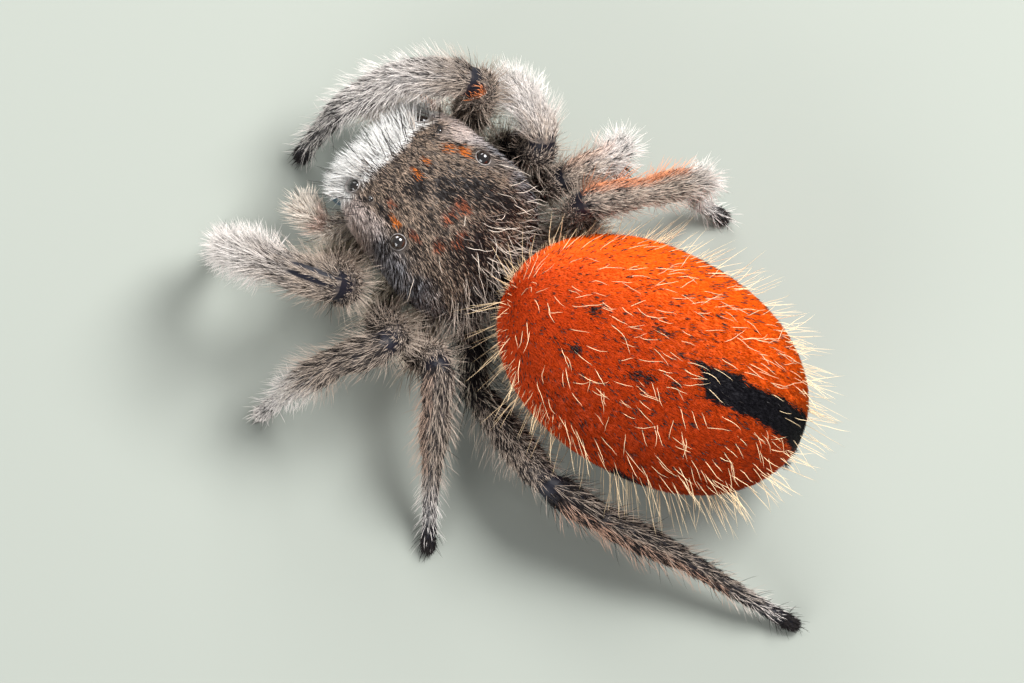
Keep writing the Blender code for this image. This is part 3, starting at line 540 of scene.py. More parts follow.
# Side, place along and share of the height, and the two half sizes
FLANK_PATCHES = ((1.0, (0.13, 0.42), (0.20, 0.17)), (-1.0, (0.0, 0.56), (0.15, 0.13)))
BELLY_TOP = 0.22
abdomen_group, graph, start, end = marking_group("abdomen_marks", {}, ("Color", "Black", "Skin"))
first, second, third, vector = graph.marks()
along = graph.sum((first, 2.0), -1.0)
across = graph.sum((second, 2.0), -1.0)
coarse = graph.cloud(vector, 12.0)
fine = graph.cloud(vector, 45.0)
offset = graph.sum(across, (along, -STRIPE_SLANT), -STRIPE_MIDDLE)
half_width = graph.sum(STRIPE_HALF_WIDTH, (graph.step(along, 0.6, 1.0), 0.03), (coarse, 0.11),
                       (fine, 0.12))
inside = graph.math("SUBTRACT", half_width, graph.math("ABSOLUTE", offset))
ahead = graph.sum(along, (across, -0.41), -0.165, (coarse, 0.08), (fine, 0.16))
black = graph.step(graph.math("MINIMUM", inside, ahead), -0.02, 0.02)
for centre, radii in STRIPE_LOBES:
    lobe = graph.step(graph.sum(graph.spot(along, across, centre, radii), fine), 0.2, 0.6)
    black = graph.math("MAXIMUM", black, lobe)
for centre, radii in ABDOMEN_SPOTS:
    found = graph.sum(graph.spot(along, across, centre, radii), (fine, 2.4))
    black = graph.math("MAXIMUM", black, graph.times(graph.step(found, 0.35, 1.0), 0.8))
for side, centre, radii in FLANK_PATCHES:
    found = graph.sum(graph.spot(along, third, centre, radii), (fine, 2.6), (coarse, 1.6))
    outer = graph.step(graph.times(across, side), 0.6, 0.7)
    near = graph.times(graph.step(graph.spot(along, third, centre, radii), 0.0, 0.1), outer)
    black = graph.math("MAXIMUM", black, graph.times(graph.step(found, 0.25, 0.70), near))
belly = graph.step(graph.sum(third, (coarse, 0.2)), BELLY_TOP + 0.06, BELLY_TOP - 0.06)
black = graph.math("MAXIMUM", black, belly)
redness = graph.step(graph.sum(offset, (along, -0.45), (coarse, 0.35)), -0.95, 0.18)
tint = graph.blend(redness, ABDOMEN_ORANGE, ABDOMEN_RED)
skin_tone = graph.dim(graph.blend(black, tint, ABDOMEN_BLACK), 0.85)
send_out(graph, end, Color=tint, Black=black, Skin=skin_tone)

# Waist and spinnerets
# A thin stalk of skin joins the breast to the abdomen, and four small cones stand at its rear end.
WAIST_PATH = ((0.0, 2.1, 1.0), (0.0, 2.6, 0.95), (-0.05, 3.4, 1.45))
WAIST_PROFILE = ((0.0, 0.30), (1.0, 0.27), (2.0, 0.30))
WAIST_BEND_RADIUS = 0.3
add_limb("waist", bent_course(WAIST_PATH, WAIST_BEND_RADIUS), WAIST_PROFILE)
SPINNERET_ROOT = ABDOMEN_CENTRE + 2.96 * ABDOMEN_BACK - 1.05 * SKY
SPINNERET_HEADING = unit(0.93 * ABDOMEN_BACK - 0.36 * SKY)
SPINNERET_REACH = 0.85
SPINNERET_PROFILE = ((0.0, 0.15), (1.6, 0.11), (2.0, 0.08))
SPINNERET_SPACING = 0.13
SPINNERET_SPLAY = 0.06
SPINNERET_BOW = 0.01
SPINNERET_BEND_RADIUS = 0.2
spinnerets = []
for across in (-1, 1):
    for fore in (-1, 1):
        aside = across * ABDOMEN_LEFT + fore * np.cross(SPINNERET_HEADING, ABDOMEN_LEFT)
        root = SPINNERET_ROOT + SPINNERET_SPACING * aside
        end = root + SPINNERET_REACH * SPINNERET_HEADING + SPINNERET_SPLAY * aside
        path = (root, (root + end) / 2 + SPINNERET_BOW * aside, end)
        name = f"spinneret_{'left' if across > 0 else 'right'}_{'upper' if fore > 0 else 'lower'}"
        add_limb(name, bent_course(path, SPINNERET_BEND_RADIUS), SPINNERET_PROFILE)
        spinnerets.append(name)

# Skin
# One skin runs over legs, feelers, head, thorax, waist and abdomen. The closed surfaces above are
# laid into one another and turned into a single even mesh, so that no seam shows between them.
SPIDER_BODY = "root"
SKIN_GRIDS = {"abdomen": (70, 110), "carapace": (60, 110), "sternum": (30, 48)}
LIMB_ROWS_PER_MM = 14
LIMB_SIDES = 24
SKIN_VOXEL = 0.066
SKIN_SMOOTHING = 4
SKIN_RELAXATION = 0.5
SHELL_GRAIN = 9000.0
SHELL_ROUGHNESS = 0.5
ABDOMEN_GRAIN = 12000.0
ABDOMEN_ROUGHNESS = 0.7
GRAIN_STRENGTH = 0.4
# Depth of the grain in metres
GRAIN_DEPTH = 0.00004
LIMB_REACH = 1.35
FIRST_LIMB_PLACE = 0.2


def surface_grid(shape, rows, sides):
    """Closed mesh of a surface, as points and faces."""
    u = np.linspace(0.0, 1.0, rows)
    v = np.arange(sides) / sides
    points = shape(np.repeat(u, sides), np.tile(v, rows))
    ring = np.arange(sides)
    following = np.roll(ring, -1)
    faces = []
    for row in range(rows - 1):
        low, high = row * sides, (row + 1) * sides
        faces += np.stack([low + ring, low + following, high + following, high + ring], axis=1).tolist()
    faces.append(ring[::-1].tolist())
    faces.append(((rows - 1) * sides + ring).tolist())
    return points, faces


def limb_mark(rows, points):
    """Marks of points on a limb: the place along it, how far each faces up and to the side."""
    outward = unit(points - rows["centre"])
    reference = unit(SKY - (rows["heading"] @ SKY)[:, None] * rows["heading"])
    beside = np.cross(rows["heading"], reference)
    return np.stack([rows["place"] / MARK_SPAN, 0.5 + 0.5 * dots(outward, reference),
                     0.5 + 0.5 * dots(outward, beside)], axis=1)


def shell_mark(points):
    """Marks of the shell: its plan and its height over six millimetres."""
    return points / MARK_SPAN + np.array((0.5, 0.5, 0.0))


def abdomen_mark(points):
    """Marks of the abdomen: along, across and up it, each from 0 to 1."""
    away = points - ABDOMEN_CENTRE
    return 0.5 + 0.5 * np.stack([away @ ABDOMEN_BACK / ABDOMEN_HALF_LENGTH,
                                 away @ ABDOMEN_LEFT / ABDOMEN_HALF_WIDTH,
                                 away @ SKY / ABDOMEN_TOP_HEIGHT], axis=1)


def plain_material(name, roughness, **constants):
    """Principled material, its graph and its shader."""
    material = bpy.data.materials.new(name)
    material.use_nodes = True
    shader = material.node_tree.nodes["Principled BSDF"]
    shader.inputs["Roughness"].default_value = roughness
    for socket, value in constants.items():
        shader.inputs[socket.replace("_", " ")].default_value = value
    return material, Graph(material.node_tree), shader


def place_group(graph, tree, **values):
    """One use of a node group, with its own values."""
    made = graph.node("ShaderNodeGroup", node_tree=tree)
    for socket, value in values.items():
        made.inputs[socket.replace("_", " ")].default_value = value
    return made


def leg_look(label):
    """The values of one leg for the group of leg marks."""
    return {socket.replace(" ", "_"): value for socket, value in zip(LEG_INPUTS, LEG_LOOKS[label])}


def add_grain(graph, shader, scale, strength):
    """Fine unevenness of the surface, as leather and horn have."""
    bump = graph.node("ShaderNodeBump", {"Height": graph.cloud(graph.position(), scale),
                                         "Strength": strength, "Distance": GRAIN_DEPTH})
    graph.tree.links.new(bump.outputs[0], shader.inputs["Normal"])


def skin_material(name, marks, roughness, grain, **values):
    """Material of skin: the marks of its part over a fine leathery grain."""
    material, graph, shader = plain_material(name, roughness, Specular_IOR_Level=0.2)
    found = place_group(graph, marks, **values)
    graph.tree.links.new(found.outputs["Skin"], shader.inputs["Base Color"])
    add_grain(graph, shader, grain, GRAIN_STRENGTH)
    return material


def fit_piece(piece, stands_for=()):
    """Fix a finished piece to the spider's body and hide the parts that it stands for."""
    bpy.context.scene.collection.objects.link(piece)
    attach(piece, SPIDER_BODY)
    if stands_for:
        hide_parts(*stands_for)


all_points = []
all_faces = []
point_count = 0
for name, shape in shapes.items():
    rows, sides = SKIN_GRIDS[name] if name in SKIN_GRIDS else (
        max(12, int(courses[name]["along"][-1] * LIMB_ROWS_PER_MM)), LIMB_SIDES)
    points, faces = surface_grid(shape, rows, sides)
    all_points.append(points)
    all_faces += [[point_count + index for index in face] for face in faces]
    point_count += len(points)
rough = bpy.data.meshes.new("rough skin")
rough.from_pydata(np.concatenate(all_points).tolist(), [], all_faces)
skin = bpy.data.objects.new("skin", rough)
bpy.context.scene.collection.objects.link(skin)
remesh = skin.modifiers.new("one skin", "REMESH")
remesh.mode = "VOXEL"
remesh.voxel_size = SKIN_VOXEL
relax = skin.modifiers.new("relax", "SMOOTH")
relax.iterations = SKIN_SMOOTHING
relax.factor = SKIN_RELAXATION
skin_mesh = bpy.data.meshes.new_from_object(skin.evaluated_get(bpy.context.evaluated_depsgraph_get()))
skin.modifiers.clear()
skin.data = skin_mesh
skin_mesh.name = "skin"
bpy.context.scene.collection.objects.unlink(skin)
skin_points = np.empty(len(skin_mesh.vertices) * 3)
skin_mesh.vertices.foreach_get("co", skin_points)
skin_points = skin_points.reshape(-1, 3)
skin_faces = [tuple(face.vertices) for face in skin_mesh.polygons]
skin_tree = BVHTree.FromPolygons(skin_points.tolist(), skin_faces)

# Regions 0 and 1 of the skin are the shell and the abdomen, and the limbs follow
limb_names = [name for name in courses if name.startswith(("leg_", "palp_"))]
limb_rows = [(region, i) for region, name in enumerate(limb_names, start=2)
             for i in range(len(courses[name]["place"]))]
limb_tree = KDTree(len(limb_rows))
for k, (region, i) in enumerate(limb_rows):
    limb_tree.insert(courses[limb_names[region - 2]]["centre"][i], k)
limb_tree.balance()
skin_marks = shell_mark(skin_points)
skin_region = np.zeros(len(skin_points), int)
abdomen_front = ABDOMEN_CENTRE @ ABDOMEN_BACK - ABDOMEN_HALF_LENGTH
on_abdomen = skin_points @ ABDOMEN_BACK > abdomen_front
skin_region[on_abdomen] = 1
skin_marks[on_abdomen] = abdomen_mark(skin_points[on_abdomen])
nearest, distance = np.array([limb_tree.find(point)[1:] for point in skin_points]).T
nearest_region, nearest_row = np.array(limb_rows)[nearest.astype(int)].T
for region, name in enumerate(limb_names, start=2):
    course = courses[name]
    own = nearest_region == region
    row = np.where(own, nearest_row, 0)
    near = own & (course["place"][row] > FIRST_LIMB_PLACE)
    near &= distance < course["radius"][row] * LIMB_REACH
    rows = {key: course[key][row[near]] for key in ("centre", "heading", "place")}
    skin_marks[near] = limb_mark(rows, skin_points[near])
    skin_region[near] = region

skin_mesh.vertices.foreach_set("co", in_row_frame(skin_points).ravel())
loop_vertex = np.empty(len(skin_mesh.loops), int)
skin_mesh.loops.foreach_get("vertex_index", loop_vertex)
side_pairs = np.stack([skin_marks[:, 2], np.zeros(len(skin_marks))], axis=1)
skin_mesh.uv_layers.new(name="mark").data.foreach_set("uv", skin_marks[loop_vertex, :2].ravel())
skin_mesh.uv_layers.new(name="side").data.foreach_set("uv", side_pairs[loop_vertex].ravel())
first_corner = np.empty(len(skin_mesh.polygons), int)
skin_mesh.polygons.foreach_get("loop_start", first_corner)
skin_mesh.polygons.foreach_set("material_index", skin_region[loop_vertex[first_corner]])
skin_mesh.polygons.foreach_set("use_smooth", np.ones(len(skin_mesh.polygons), bool))
skin_mesh.materials.append(skin_material("shell_skin", shell_group, SHELL_ROUGHNESS, SHELL_GRAIN))
skin_mesh.materials.append(skin_material("abdomen_skin", abdomen_group, ABDOMEN_ROUGHNESS, ABDOMEN_GRAIN))
for name in limb_names:
    is_leg = name.startswith("leg_")
    look = leg_look(name[4:]) if is_leg else {}
    marks = leg_group if is_leg else palp_group
    made = skin_material("skin_" + name, marks, SHELL_ROUGHNESS, SHELL_GRAIN, **look)
    skin_mesh.materials.append(made)
flesh_nodes = ["cephalothorax", "abdomen", "pedicel", "spinnerets", "palp_left", "palp_right"]
flesh_nodes += [f"leg_{label}_{part}" for label in LEG_POSES for part in ("upper", "middle", "foot")]
fit_piece(skin, flesh_nodes)

# Coat of the legs
# Stiff hair of chitin: short streaky hair that lies towards the foot, longer hair through it, and a
# pale fringe that stands off all round. Each hair is a solid three-sided spike, rooted in the skin.
OWN_PATCH = 0.003
SCATTER_GRID = (220, 240)
SMALL_STEP = 1e-3
ROOT_DEPTH = 0.03
SETTLE_REACH = 0.13
# Share of its width that a hair loses before its pointed tip, and its height as a share of its width
HAIR_TAPER = 0.75
HAIR_FLATNESS = 0.7
COAT_ROUGHNESS = 0.6
BRISTLE_ROUGHNESS = 0.45
# One kind of hair: how many a square millimetre, the shortest and longest, the width, the rise from
# the skin in degrees (a pair stands for all between), the bend that is added by the tip, the rings,
# how much each hair turns sideways and kinks at each ring, and the lowest and highest tone
Hair = namedtuple("Hair", "density shortest longest width rise bend rings sway kink tone",
                  defaults=(0.0, (0.0, 1.0)))
LEG_HAIRS = (
    Hair(680.0, 0.13, 0.20, 0.032, 13, 0, 1, 0.2),
    Hair(230.0, 0.19, 0.30, 0.023, 20, -10, 2, 0.2),
    Hair(72.0, 0.34, 0.64, 0.015, 44, -24, 4, 0.3, tone=(0.62, 1.0)),
)
LEG_FRINGE = LEG_HAIRS[-1]
LEG_HAIR_START = 0.15
# The underside has this share of the hair, where a leg faces up by less than this
UNDERSIDE_SHARE = 0.7
UNDERSIDE_TOP = 0.3
# Place along a leg, and how many times longer its hair is there
LEG_HAIR_STRETCH = ((0.0, 1.8), (0.9, 1.8), (1.6, 1.4), (1.9, 0.8), (2.1, 1.0), (3.8, 1.0), (4.4, 0.9),
                    (6.0, 0.7))
# Degrees that hair rises more on the thigh, on the woolly stretches and here and there in the fringe
THIGH_LIFT = 8.0
THIGH_END = 1.9
WOOL_LIFT = 14.0
FRINGE_LOOSENESS = (-14.0, 16.0)
# Extra fringe on the woolly stretches of some legs: from place, to place and how much more
LEG_WOOL = {"left_1": (2.9, 4.8, 2.0), "left_2": (3.1, 4.6, 0.6), "right_1": (2.3, 4.2, 0.3),
            "right_2": (2.3, 4.4, 1.0), "right_3": (2.6, 4.4, 0.2), "right_4": (3.9, 4.8, 1.0)}
NO_WOOL = (0.0, 0.0, 0.0)
# How much more fringe the hips of some legs have, and where it ends
HIP_WOOL = {"right_2": 2.0, "right_3": 4.0, "right_4": 4.0}
HIP_WOOL_END = 1.3
CLAW_TUFT = Hair(420.0, 0.10, 0.17, 0.030, 34, -10, 2, 0.4)
CLAW_TUFT_START = 5.6
DARK_TUFT_TONE = (0.0, 0.1)
PALE_TUFT_TONE = (0.2, 1.0)


def tangents(shape, u, v):
    """How a surface runs along u and round v, over two small steps each."""
    return (shape(u + SMALL_STEP, v) - shape(u - SMALL_STEP, v),
            shape(u, v + SMALL_STEP) - shape(u, v - SMALL_STEP))


def scatter(shape, density, draw):
    """Hair roots spread over a surface, where density gives hairs a square millimetre."""
    rows, sides = SCATTER_GRID
    u = np.repeat((np.arange(rows) + 0.5) / rows, sides)
    v = np.tile((np.arange(sides) + 0.5) / sides, rows)
    area = np.linalg.norm(np.cross(*tangents(shape, u, v)), axis=1) / (4 * SMALL_STEP ** 2)
    weight = area / (rows * sides) * density(u, v, shape(u, v))
    cell = draw.choice(len(weight), size=int(weight.sum()), p=weight / weight.sum())
    u = np.clip(u[cell] + (draw.random(len(cell)) - 0.5) / rows, SMALL_STEP, 1 - SMALL_STEP)
    v = (v[cell] + (draw.random(len(cell)) - 0.5) / sides) % 1.0
    length, breadth = tangents(shape, u, v)
    spread = {"u": u, "v": v, "root": shape(u, v), "outward": unit(np.cross(length, breadth)),
              "length": unit(length)}
    return settle(spread)


def settle(spread):
    """Move roots onto the finished skin and drop those that another part covers."""
    keep = np.zeros(len(spread["u"]), bool)
    for i, root in enumerate(spread["root"]):
        place, normal, _, _ = skin_tree.find_nearest(root, SETTLE_REACH)
        if place is not None:
            spread["root"][i] = place
            keep[i] = True
            if normal.dot(Vector(spread["outward"][i])) < 0:
                spread["outward"][i] *= -1
    return keep_rows(spread, keep)


def keep_rows(spread, keep):
    """The rows of a spread that are kept."""
    return {key: rows[keep] for key, rows in spread.items()}


def hairs(spread, lie, length, rise, kind, draw):
    """Points, triangles and map rows of many hairs of one kind, with their lengths and rises."""
    count = len(spread["u"])
    rings = kind.rings
    outward = spread["outward"]
    lie = unit(lie - dots(lie, outward)[:, None] * outward)
    side = np.cross(outward, lie)
    turn = kind.sway * draw.normal(size=count)
    stations = np.linspace(0.0, 1.0, rings + 1)
    centre = spread["root"] - ROOT_DEPTH * outward
    rise, bend, length, width = [np.broadcast_to(value, count)
                                 for value in (rise, kind.bend, length, kind.width)]
    points = np.empty((count, rings * 3 + 1, 3))
    along = np.ones((count, rings * 3 + 1))
    around = np.full((count, rings * 3 + 1), 0.5)
    for ring, share in enumerate(stations[:-1]):
        angle = np.radians(rise + bend * share)
        turn = turn + kind.kink * draw.normal(size=count) * (ring > 0)
        flat = np.cos(turn)[:, None] * lie + np.sin(turn)[:, None] * side
        heading = np.cos(angle)[:, None] * flat + np.sin(angle)[:, None] * outward
        thick = width * (1.0 - HAIR_TAPER * share ** 1.5) / 2
        across = unit(np.cross(heading, outward) + 1e-6 * side)
        above = np.cross(across, heading)
        for corner in range(3):
            phase = 2 * math.pi * corner / 3 + math.pi / 2
            points[:, ring * 3 + corner] = (centre + (thick * math.cos(phase))[:, None] * across
                                            + (thick * HAIR_FLATNESS * math.sin(phase))[:, None] * above)
            along[:, ring * 3 + corner] = share
            around[:, ring * 3 + corner] = corner / 2
        step = (stations[ring + 1] - share) * length + (ROOT_DEPTH if ring == 0 else 0.0)
        centre = centre + step[:, None] * heading
    points[:, -1] = centre
    pattern = [(0, 2, 1)]
    for ring in range(rings - 1):
        for corner in range(3):
            a, b = ring * 3 + corner, ring * 3 + (corner + 1) % 3
            pattern += [(a, b, b + 3), (a, b + 3, a + 3)]
    last = (rings - 1) * 3
    pattern += [(last + corner, last + (corner + 1) % 3, rings * 3) for corner in range(3)]
    per_hair = rings * 3 + 1
    triangles = (np.array(pattern)[None] + per_hair * np.arange(count)[:, None, None]).reshape(-1, 3)
    own = draw.uniform(*kind.tone, count)
    bake = np.stack([spread["u"][:, None] + OWN_PATCH * (along - 0.5),
                     spread["v"][:, None] + OWN_PATCH * (around - 0.5)], axis=2)
    strand = np.stack([along, np.broadcast_to(own[:, None], along.shape)], axis=2)
    marks = np.broadcast_to(spread["mark"][:, None, :], (count, per_hair, 3)).reshape(-1, 3)
    return {"points": points.reshape(-1, 3), "triangles": triangles,
            "OFBake": np.clip(bake.reshape(-1, 2), 0.0, 1.0), "strand": strand.reshape(-1, 2),
            "mark": marks[:, :2], "side": marks[:, 2:] * np.array((1.0, 0.0))}


def tuft(spread, lie, kind, draw, stretch=1.0, lift=0.0):
    """Hairs of one kind, where stretch and lift change their lengths and rises."""
    count = len(spread["u"])
    length = draw.uniform(kind.shortest, kind.longest, count) * stretch
    rise = draw.uniform(*kind.rise, count) if isinstance(kind.rise, tuple) else kind.rise
    return hairs(spread, lie, length, rise + lift, kind, draw)


def coat_piece(name, tufts, material):
    """Join sets of hairs into one piece with its maps."""
    starts = np.cumsum([0] + [len(part["points"]) for part in tufts])
    points = np.concatenate([part["points"] for part in tufts])
    points[:, 2] = np.maximum(points[:, 2], SOLE_CLEARANCE)
    triangles = np.concatenate([part["triangles"] + start for part, start in zip(tufts, starts)])
    mesh = bpy.data.meshes.new(name)
    mesh.vertices.add(len(points))
    mesh.vertices.foreach_set("co", in_row_frame(points).ravel())
    mesh.loops.add(len(triangles) * 3)
    mesh.loops.foreach_set("vertex_index", triangles.ravel())
    mesh.polygons.add(len(triangles))
    mesh.polygons.foreach_set("loop_start", np.arange(len(triangles)) * 3)
    mesh.polygons.foreach_set("use_smooth", np.ones(len(triangles), bool))
    for layer_name in ("OFBake", "strand", "mark", "side"):
        rows = np.concatenate([part[layer_name] for part in tufts])
        mesh.uv_layers.new(name=layer_name).data.foreach_set("uv", rows[triangles.ravel()].ravel())
    mesh.update()
    mesh.materials.append(material)
    fit_piece(bpy.data.objects.new(name, mesh))


# Tone of one hair: pale or dark by its own number, uneven in brightness, and darker at its root with
# painted shade standing for the shade the coat casts on its roots
strand_group, graph, start, end = marking_group(
    "strand_tone", {"Pale": (0.6, 0.5, 0.4), "Dark": (0.03, 0.02, 0.02), "Dark Share": 0.4,
                    "Root Shade": 0.45}, ("Color",))
along_hair, own_number = graph.map("strand")
is_dark = graph.math("LESS_THAN", own_number, start["Dark Share"])
variety = graph.math("FRACT", graph.times(own_number, 37.0))
brightness = graph.sum((variety, 0.5), 0.75)
# Painted shade: each hair darkens towards its root by the Root Shade share
shade = graph.times(start["Root Shade"], graph.step(along_hair, 0.6, 0.0))
tone = graph.times(brightness, graph.math("SUBTRACT", 1.0, shade))
send_out(graph, end, Color=graph.dim(graph.blend(is_dark, start["Pale"], start["Dark"]), tone))


def coat_material(name, marks, dark, root_shade, **values):
    """Material of hairs: strand tones over the marks of their part."""
    material, graph, shader = plain_material(name, COAT_ROUGHNESS, Specular_IOR_Level=0.15)
    found = place_group(graph, marks, **values)
    strand = place_group(graph, strand_group, Dark=(*dark, 1.0), Root_Shade=root_shade)
    for socket, source in (("Pale", found.outputs[0]), ("Dark Share", found.outputs[1])):
        graph.tree.links.new(source, strand.inputs[socket])
    graph.tree.links.new(strand.outputs["Color"], shader.inputs["Base Color"])
    return material


def plain_hair_material(name, pale, root_shade, dark=None, dark_share=0.0):
    """Material of hairs that have one colour, or two."""
    material, graph, shader = plain_material(name, BRISTLE_ROUGHNESS, Specular_IOR_Level=0.4)
    strand = place_group(graph, strand_group, Pale=(*pale, 1.0), Dark=(*(dark or pale), 1.0),
                         Dark_Share=dark_share, Root_Shade=root_shade)
    graph.tree.links.new(strand.outputs["Color"], shader.inputs["Base Color"])
    return material


def limb_roots(name, density, draw):
    """Hair roots on a limb, where density takes the place along it and its marks."""
    def by_area(u, v, points):
        rows = course_rows(courses[name], u)
        return density(rows["place"], limb_mark(rows, points))

    spread = scatter(shapes[name], by_area, draw)
    rows = course_rows(courses[name], spread["u"])
    spread["place"] = rows["place"]
    spread["mark"] = limb_mark(rows, spread["root"])
    return spread


def ellipse(x, y, centre, radii):
    """0 at a point, 1 on an ellipse round it and more outside."""
    return ((x - centre[0]) / radii[0]) ** 2 + ((y - centre[1]) / radii[1]) ** 2


def bare_places(label, place, mark):
    """Where a leg shows its skin: the knee bands and the stripes."""
    bare = np.abs(place - KNEE_PLACE) < KNEE_HALF
    if LEG_LOOKS[label][-1] > 0:
        for centre, radii in BARE_STRIPES:
            on_stripe = ellipse(place, 2 * mark[:, 2] - 1, centre, radii) < 1
            bare |= on_stripe & (mark[:, 1] > 0.5)
    return bare


def is_woolly(label, place):
    """Where the fringe of a leg is thick and stands up."""
    start, end, _ = LEG_WOOL.get(label, NO_WOOL)
    return (place > start) & (place < end)


def leg_density(label, kind, place, mark):
    """Hairs of one kind a square millimetre on a leg, with more of the fringe on woolly places."""
    more = np.ones(len(place))
    if kind is LEG_FRINGE:
        more += LEG_WOOL.get(label, NO_WOOL)[2] * is_woolly(label, place)
        more += HIP_WOOL.get(label, 0.0) * (place < HIP_WOOL_END)
    under = np.where(mark[:, 1] < UNDERSIDE_TOP, UNDERSIDE_SHARE, 1.0)
    covered = (place > LEG_HAIR_START) & ~bare_places(label, place, mark)
    return kind.density * under * more * covered


for index, label in enumerate(LEG_POSES):
    draw = np.random.default_rng(100 + index)
    name = "leg_" + label
    tufts = []
    for kind in LEG_HAIRS:
        spread = limb_roots(name, lambda place, mark: leg_density(label, kind, place, mark), draw)
        place = spread["place"]
        loose = draw.uniform(*FRINGE_LOOSENESS, len(place)) + WOOL_LIFT * is_woolly(label, place)
        lift = np.where(place < THIGH_END, THIGH_LIFT, 0.0) + loose * (kind is LEG_FRINGE)
        stretch = np.interp(place, *zip(*LEG_HAIR_STRETCH))
        tufts.append(tuft(spread, spread["length"], kind, draw, stretch, lift))
    spread = limb_roots(name, lambda place, mark: CLAW_TUFT.density * (place > CLAW_TUFT_START), draw)
    tone = DARK_TUFT_TONE if LEG_LOOKS[label][TIP_COLUMN] > 0.5 else PALE_TUFT_TONE
    tufts.append(tuft(spread, spread["length"], CLAW_TUFT._replace(tone=tone), draw))
    material = coat_material("coat_" + label, leg_group, LEG_BLACK, 0.4, **leg_look(label))
    coat_piece("coat_leg_" + label, tufts, material)

# Coat of the feelers
# Dense woolly hair, longest on the last two joints, rooted all over the feelers.
PALP_HAIRS = (
    Hair(420.0, 0.18, 0.28, 0.036, 24, 0, 1, 0.3),
    Hair(170.0, 0.38, 0.62, 0.024, 38, -18, 3, 0.3),
)
PALP_HAIR_START = 0.2
palp_material = coat_material("palp_coat", palp_group, PALP_DARK, 0.3)
for index, side in enumerate(PALP_PATHS):
    draw = np.random.default_rng(200 + index)
    tufts = []
    for kind in PALP_HAIRS:
        spread = limb_roots("palp_" + side, lambda place, mark: kind.density * (place > PALP_HAIR_START),
                            draw)
        tufts.append(tuft(spread, spread["length"], kind, draw))
    coat_piece("coat_palp_" + side, tufts, palp_material)

# Eyes
# Eight glossy domes of clear horn: two large and two small in front, a tiny pair and a pair at the
# rear. Each is a round lens, dark brown inside, and all but the large pair sit in a pale rim.
EYES = (
    ("anterior_median", 0.40, -1.76, 2.54, 0.31),
    ("anterior_lateral", 1.08, -1.54, 2.78, 0.18),
    ("posterior_median", 1.12, -1.11, 3.10, 0.075),
    ("posterior_lateral", 1.38, 0.0, 3.13, 0.18),
)
EYE_RIMS = {"anterior_lateral": (0.175, 0.015), "posterior_median": (0.07, 0.008),
            "posterior_lateral": (0.18, 0.014)}
LENS_BLACK = (0.006, 0.005, 0.005)
LENS_BROWN = (0.030, 0.018, 0.012)
LENS_MOTTLE = 3000.0
RIM_GREY = (0.16, 0.14, 0.13)
RIM_PALE = (0.42, 0.38, 0.36)
RIM_MOTTLE = 9000.0
EYE_RINGS = 24
EYE_SIDES = 40
RIM_RINGS = 12
lens, graph, shader = plain_material("eye_lens", 0.04, IOR=1.55, Coat_Weight=1.0, Coat_Roughness=0.02)
lens_tone = graph.mottle(LENS_MOTTLE, LENS_BLACK, LENS_BROWN, -0.15)
graph.tree.links.new(lens_tone, shader.inputs["Base Color"])
rim_skin, graph, shader = plain_material("eye_rim", 0.45)
graph.tree.links.new(graph.mottle(RIM_MOTTLE, RIM_GREY, RIM_PALE), shader.inputs["Base Color"])


def ball_shape(centre, radius):
    """Surface of a ball."""
    def shape(u, v):
        polar = math.pi * np.asarray(u)
        turn = 2 * math.pi * np.asarray(v)
        return centre + radius * np.stack([np.sin(polar) * np.cos(turn), np.sin(polar) * np.sin(turn),
                                           np.cos(polar)], axis=1)

    return shape


def finished_mesh(name, points, faces, material):
    """Smooth mesh in the row's frame, in one material."""
    mesh = bpy.data.meshes.new(name)
    mesh.from_pydata(in_row_frame(points).tolist(), [], faces)
    mesh.shade_smooth()
    mesh.materials.append(material)
    return bpy.data.objects.new(name, mesh)


for name, x, y, z, radius in EYES:
    for side, label in ((1, "left"), (-1, "right")):
        centre = np.array((side * x, y, z))
        points, faces = surface_grid(ball_shape(centre, radius), EYE_RINGS, EYE_SIDES)
        fit_piece(finished_mesh(f"lens_{name}_{label}", points, faces, lens),
                  [f"eye_{name}_{label}"])
        if name in EYE_RIMS:
            reach, thickness = EYE_RIMS[name]
            place, normal, _, _ = skin_tree.find_nearest(centre)
            normal = np.array(normal)
            across = unit(np.cross(normal, (0.0, 1.0, 0.0)))
            beside = np.cross(normal, across)
            lift = (np.array(place) - centre) @ normal + 0.4 * thickness
            ring = np.repeat(2 * math.pi * np.arange(EYE_SIDES) / EYE_SIDES, RIM_RINGS)
            tube = np.tile(2 * math.pi * np.arange(RIM_RINGS) / RIM_RINGS, EYE_SIDES)
            away = np.cos(ring)[:, None] * across + np.sin(ring)[:, None] * beside
            points = centre + lift * normal + (reach + thickness * np.cos(tube))[:, None] * away
            points = points + (thickness * np.sin(tube))[:, None] * normal
            grid = np.arange(EYE_SIDES * RIM_RINGS).reshape(EYE_SIDES, RIM_RINGS)
            faces = np.stack([grid, np.roll(grid, -1, 0), np.roll(grid, (-1, -1), (0, 1)),
                              np.roll(grid, -1, 1)], axis=2).reshape(-1, 4).tolist()
            fit_piece(finished_mesh(f"rim_{name}_{label}", points, faces, rim_skin))

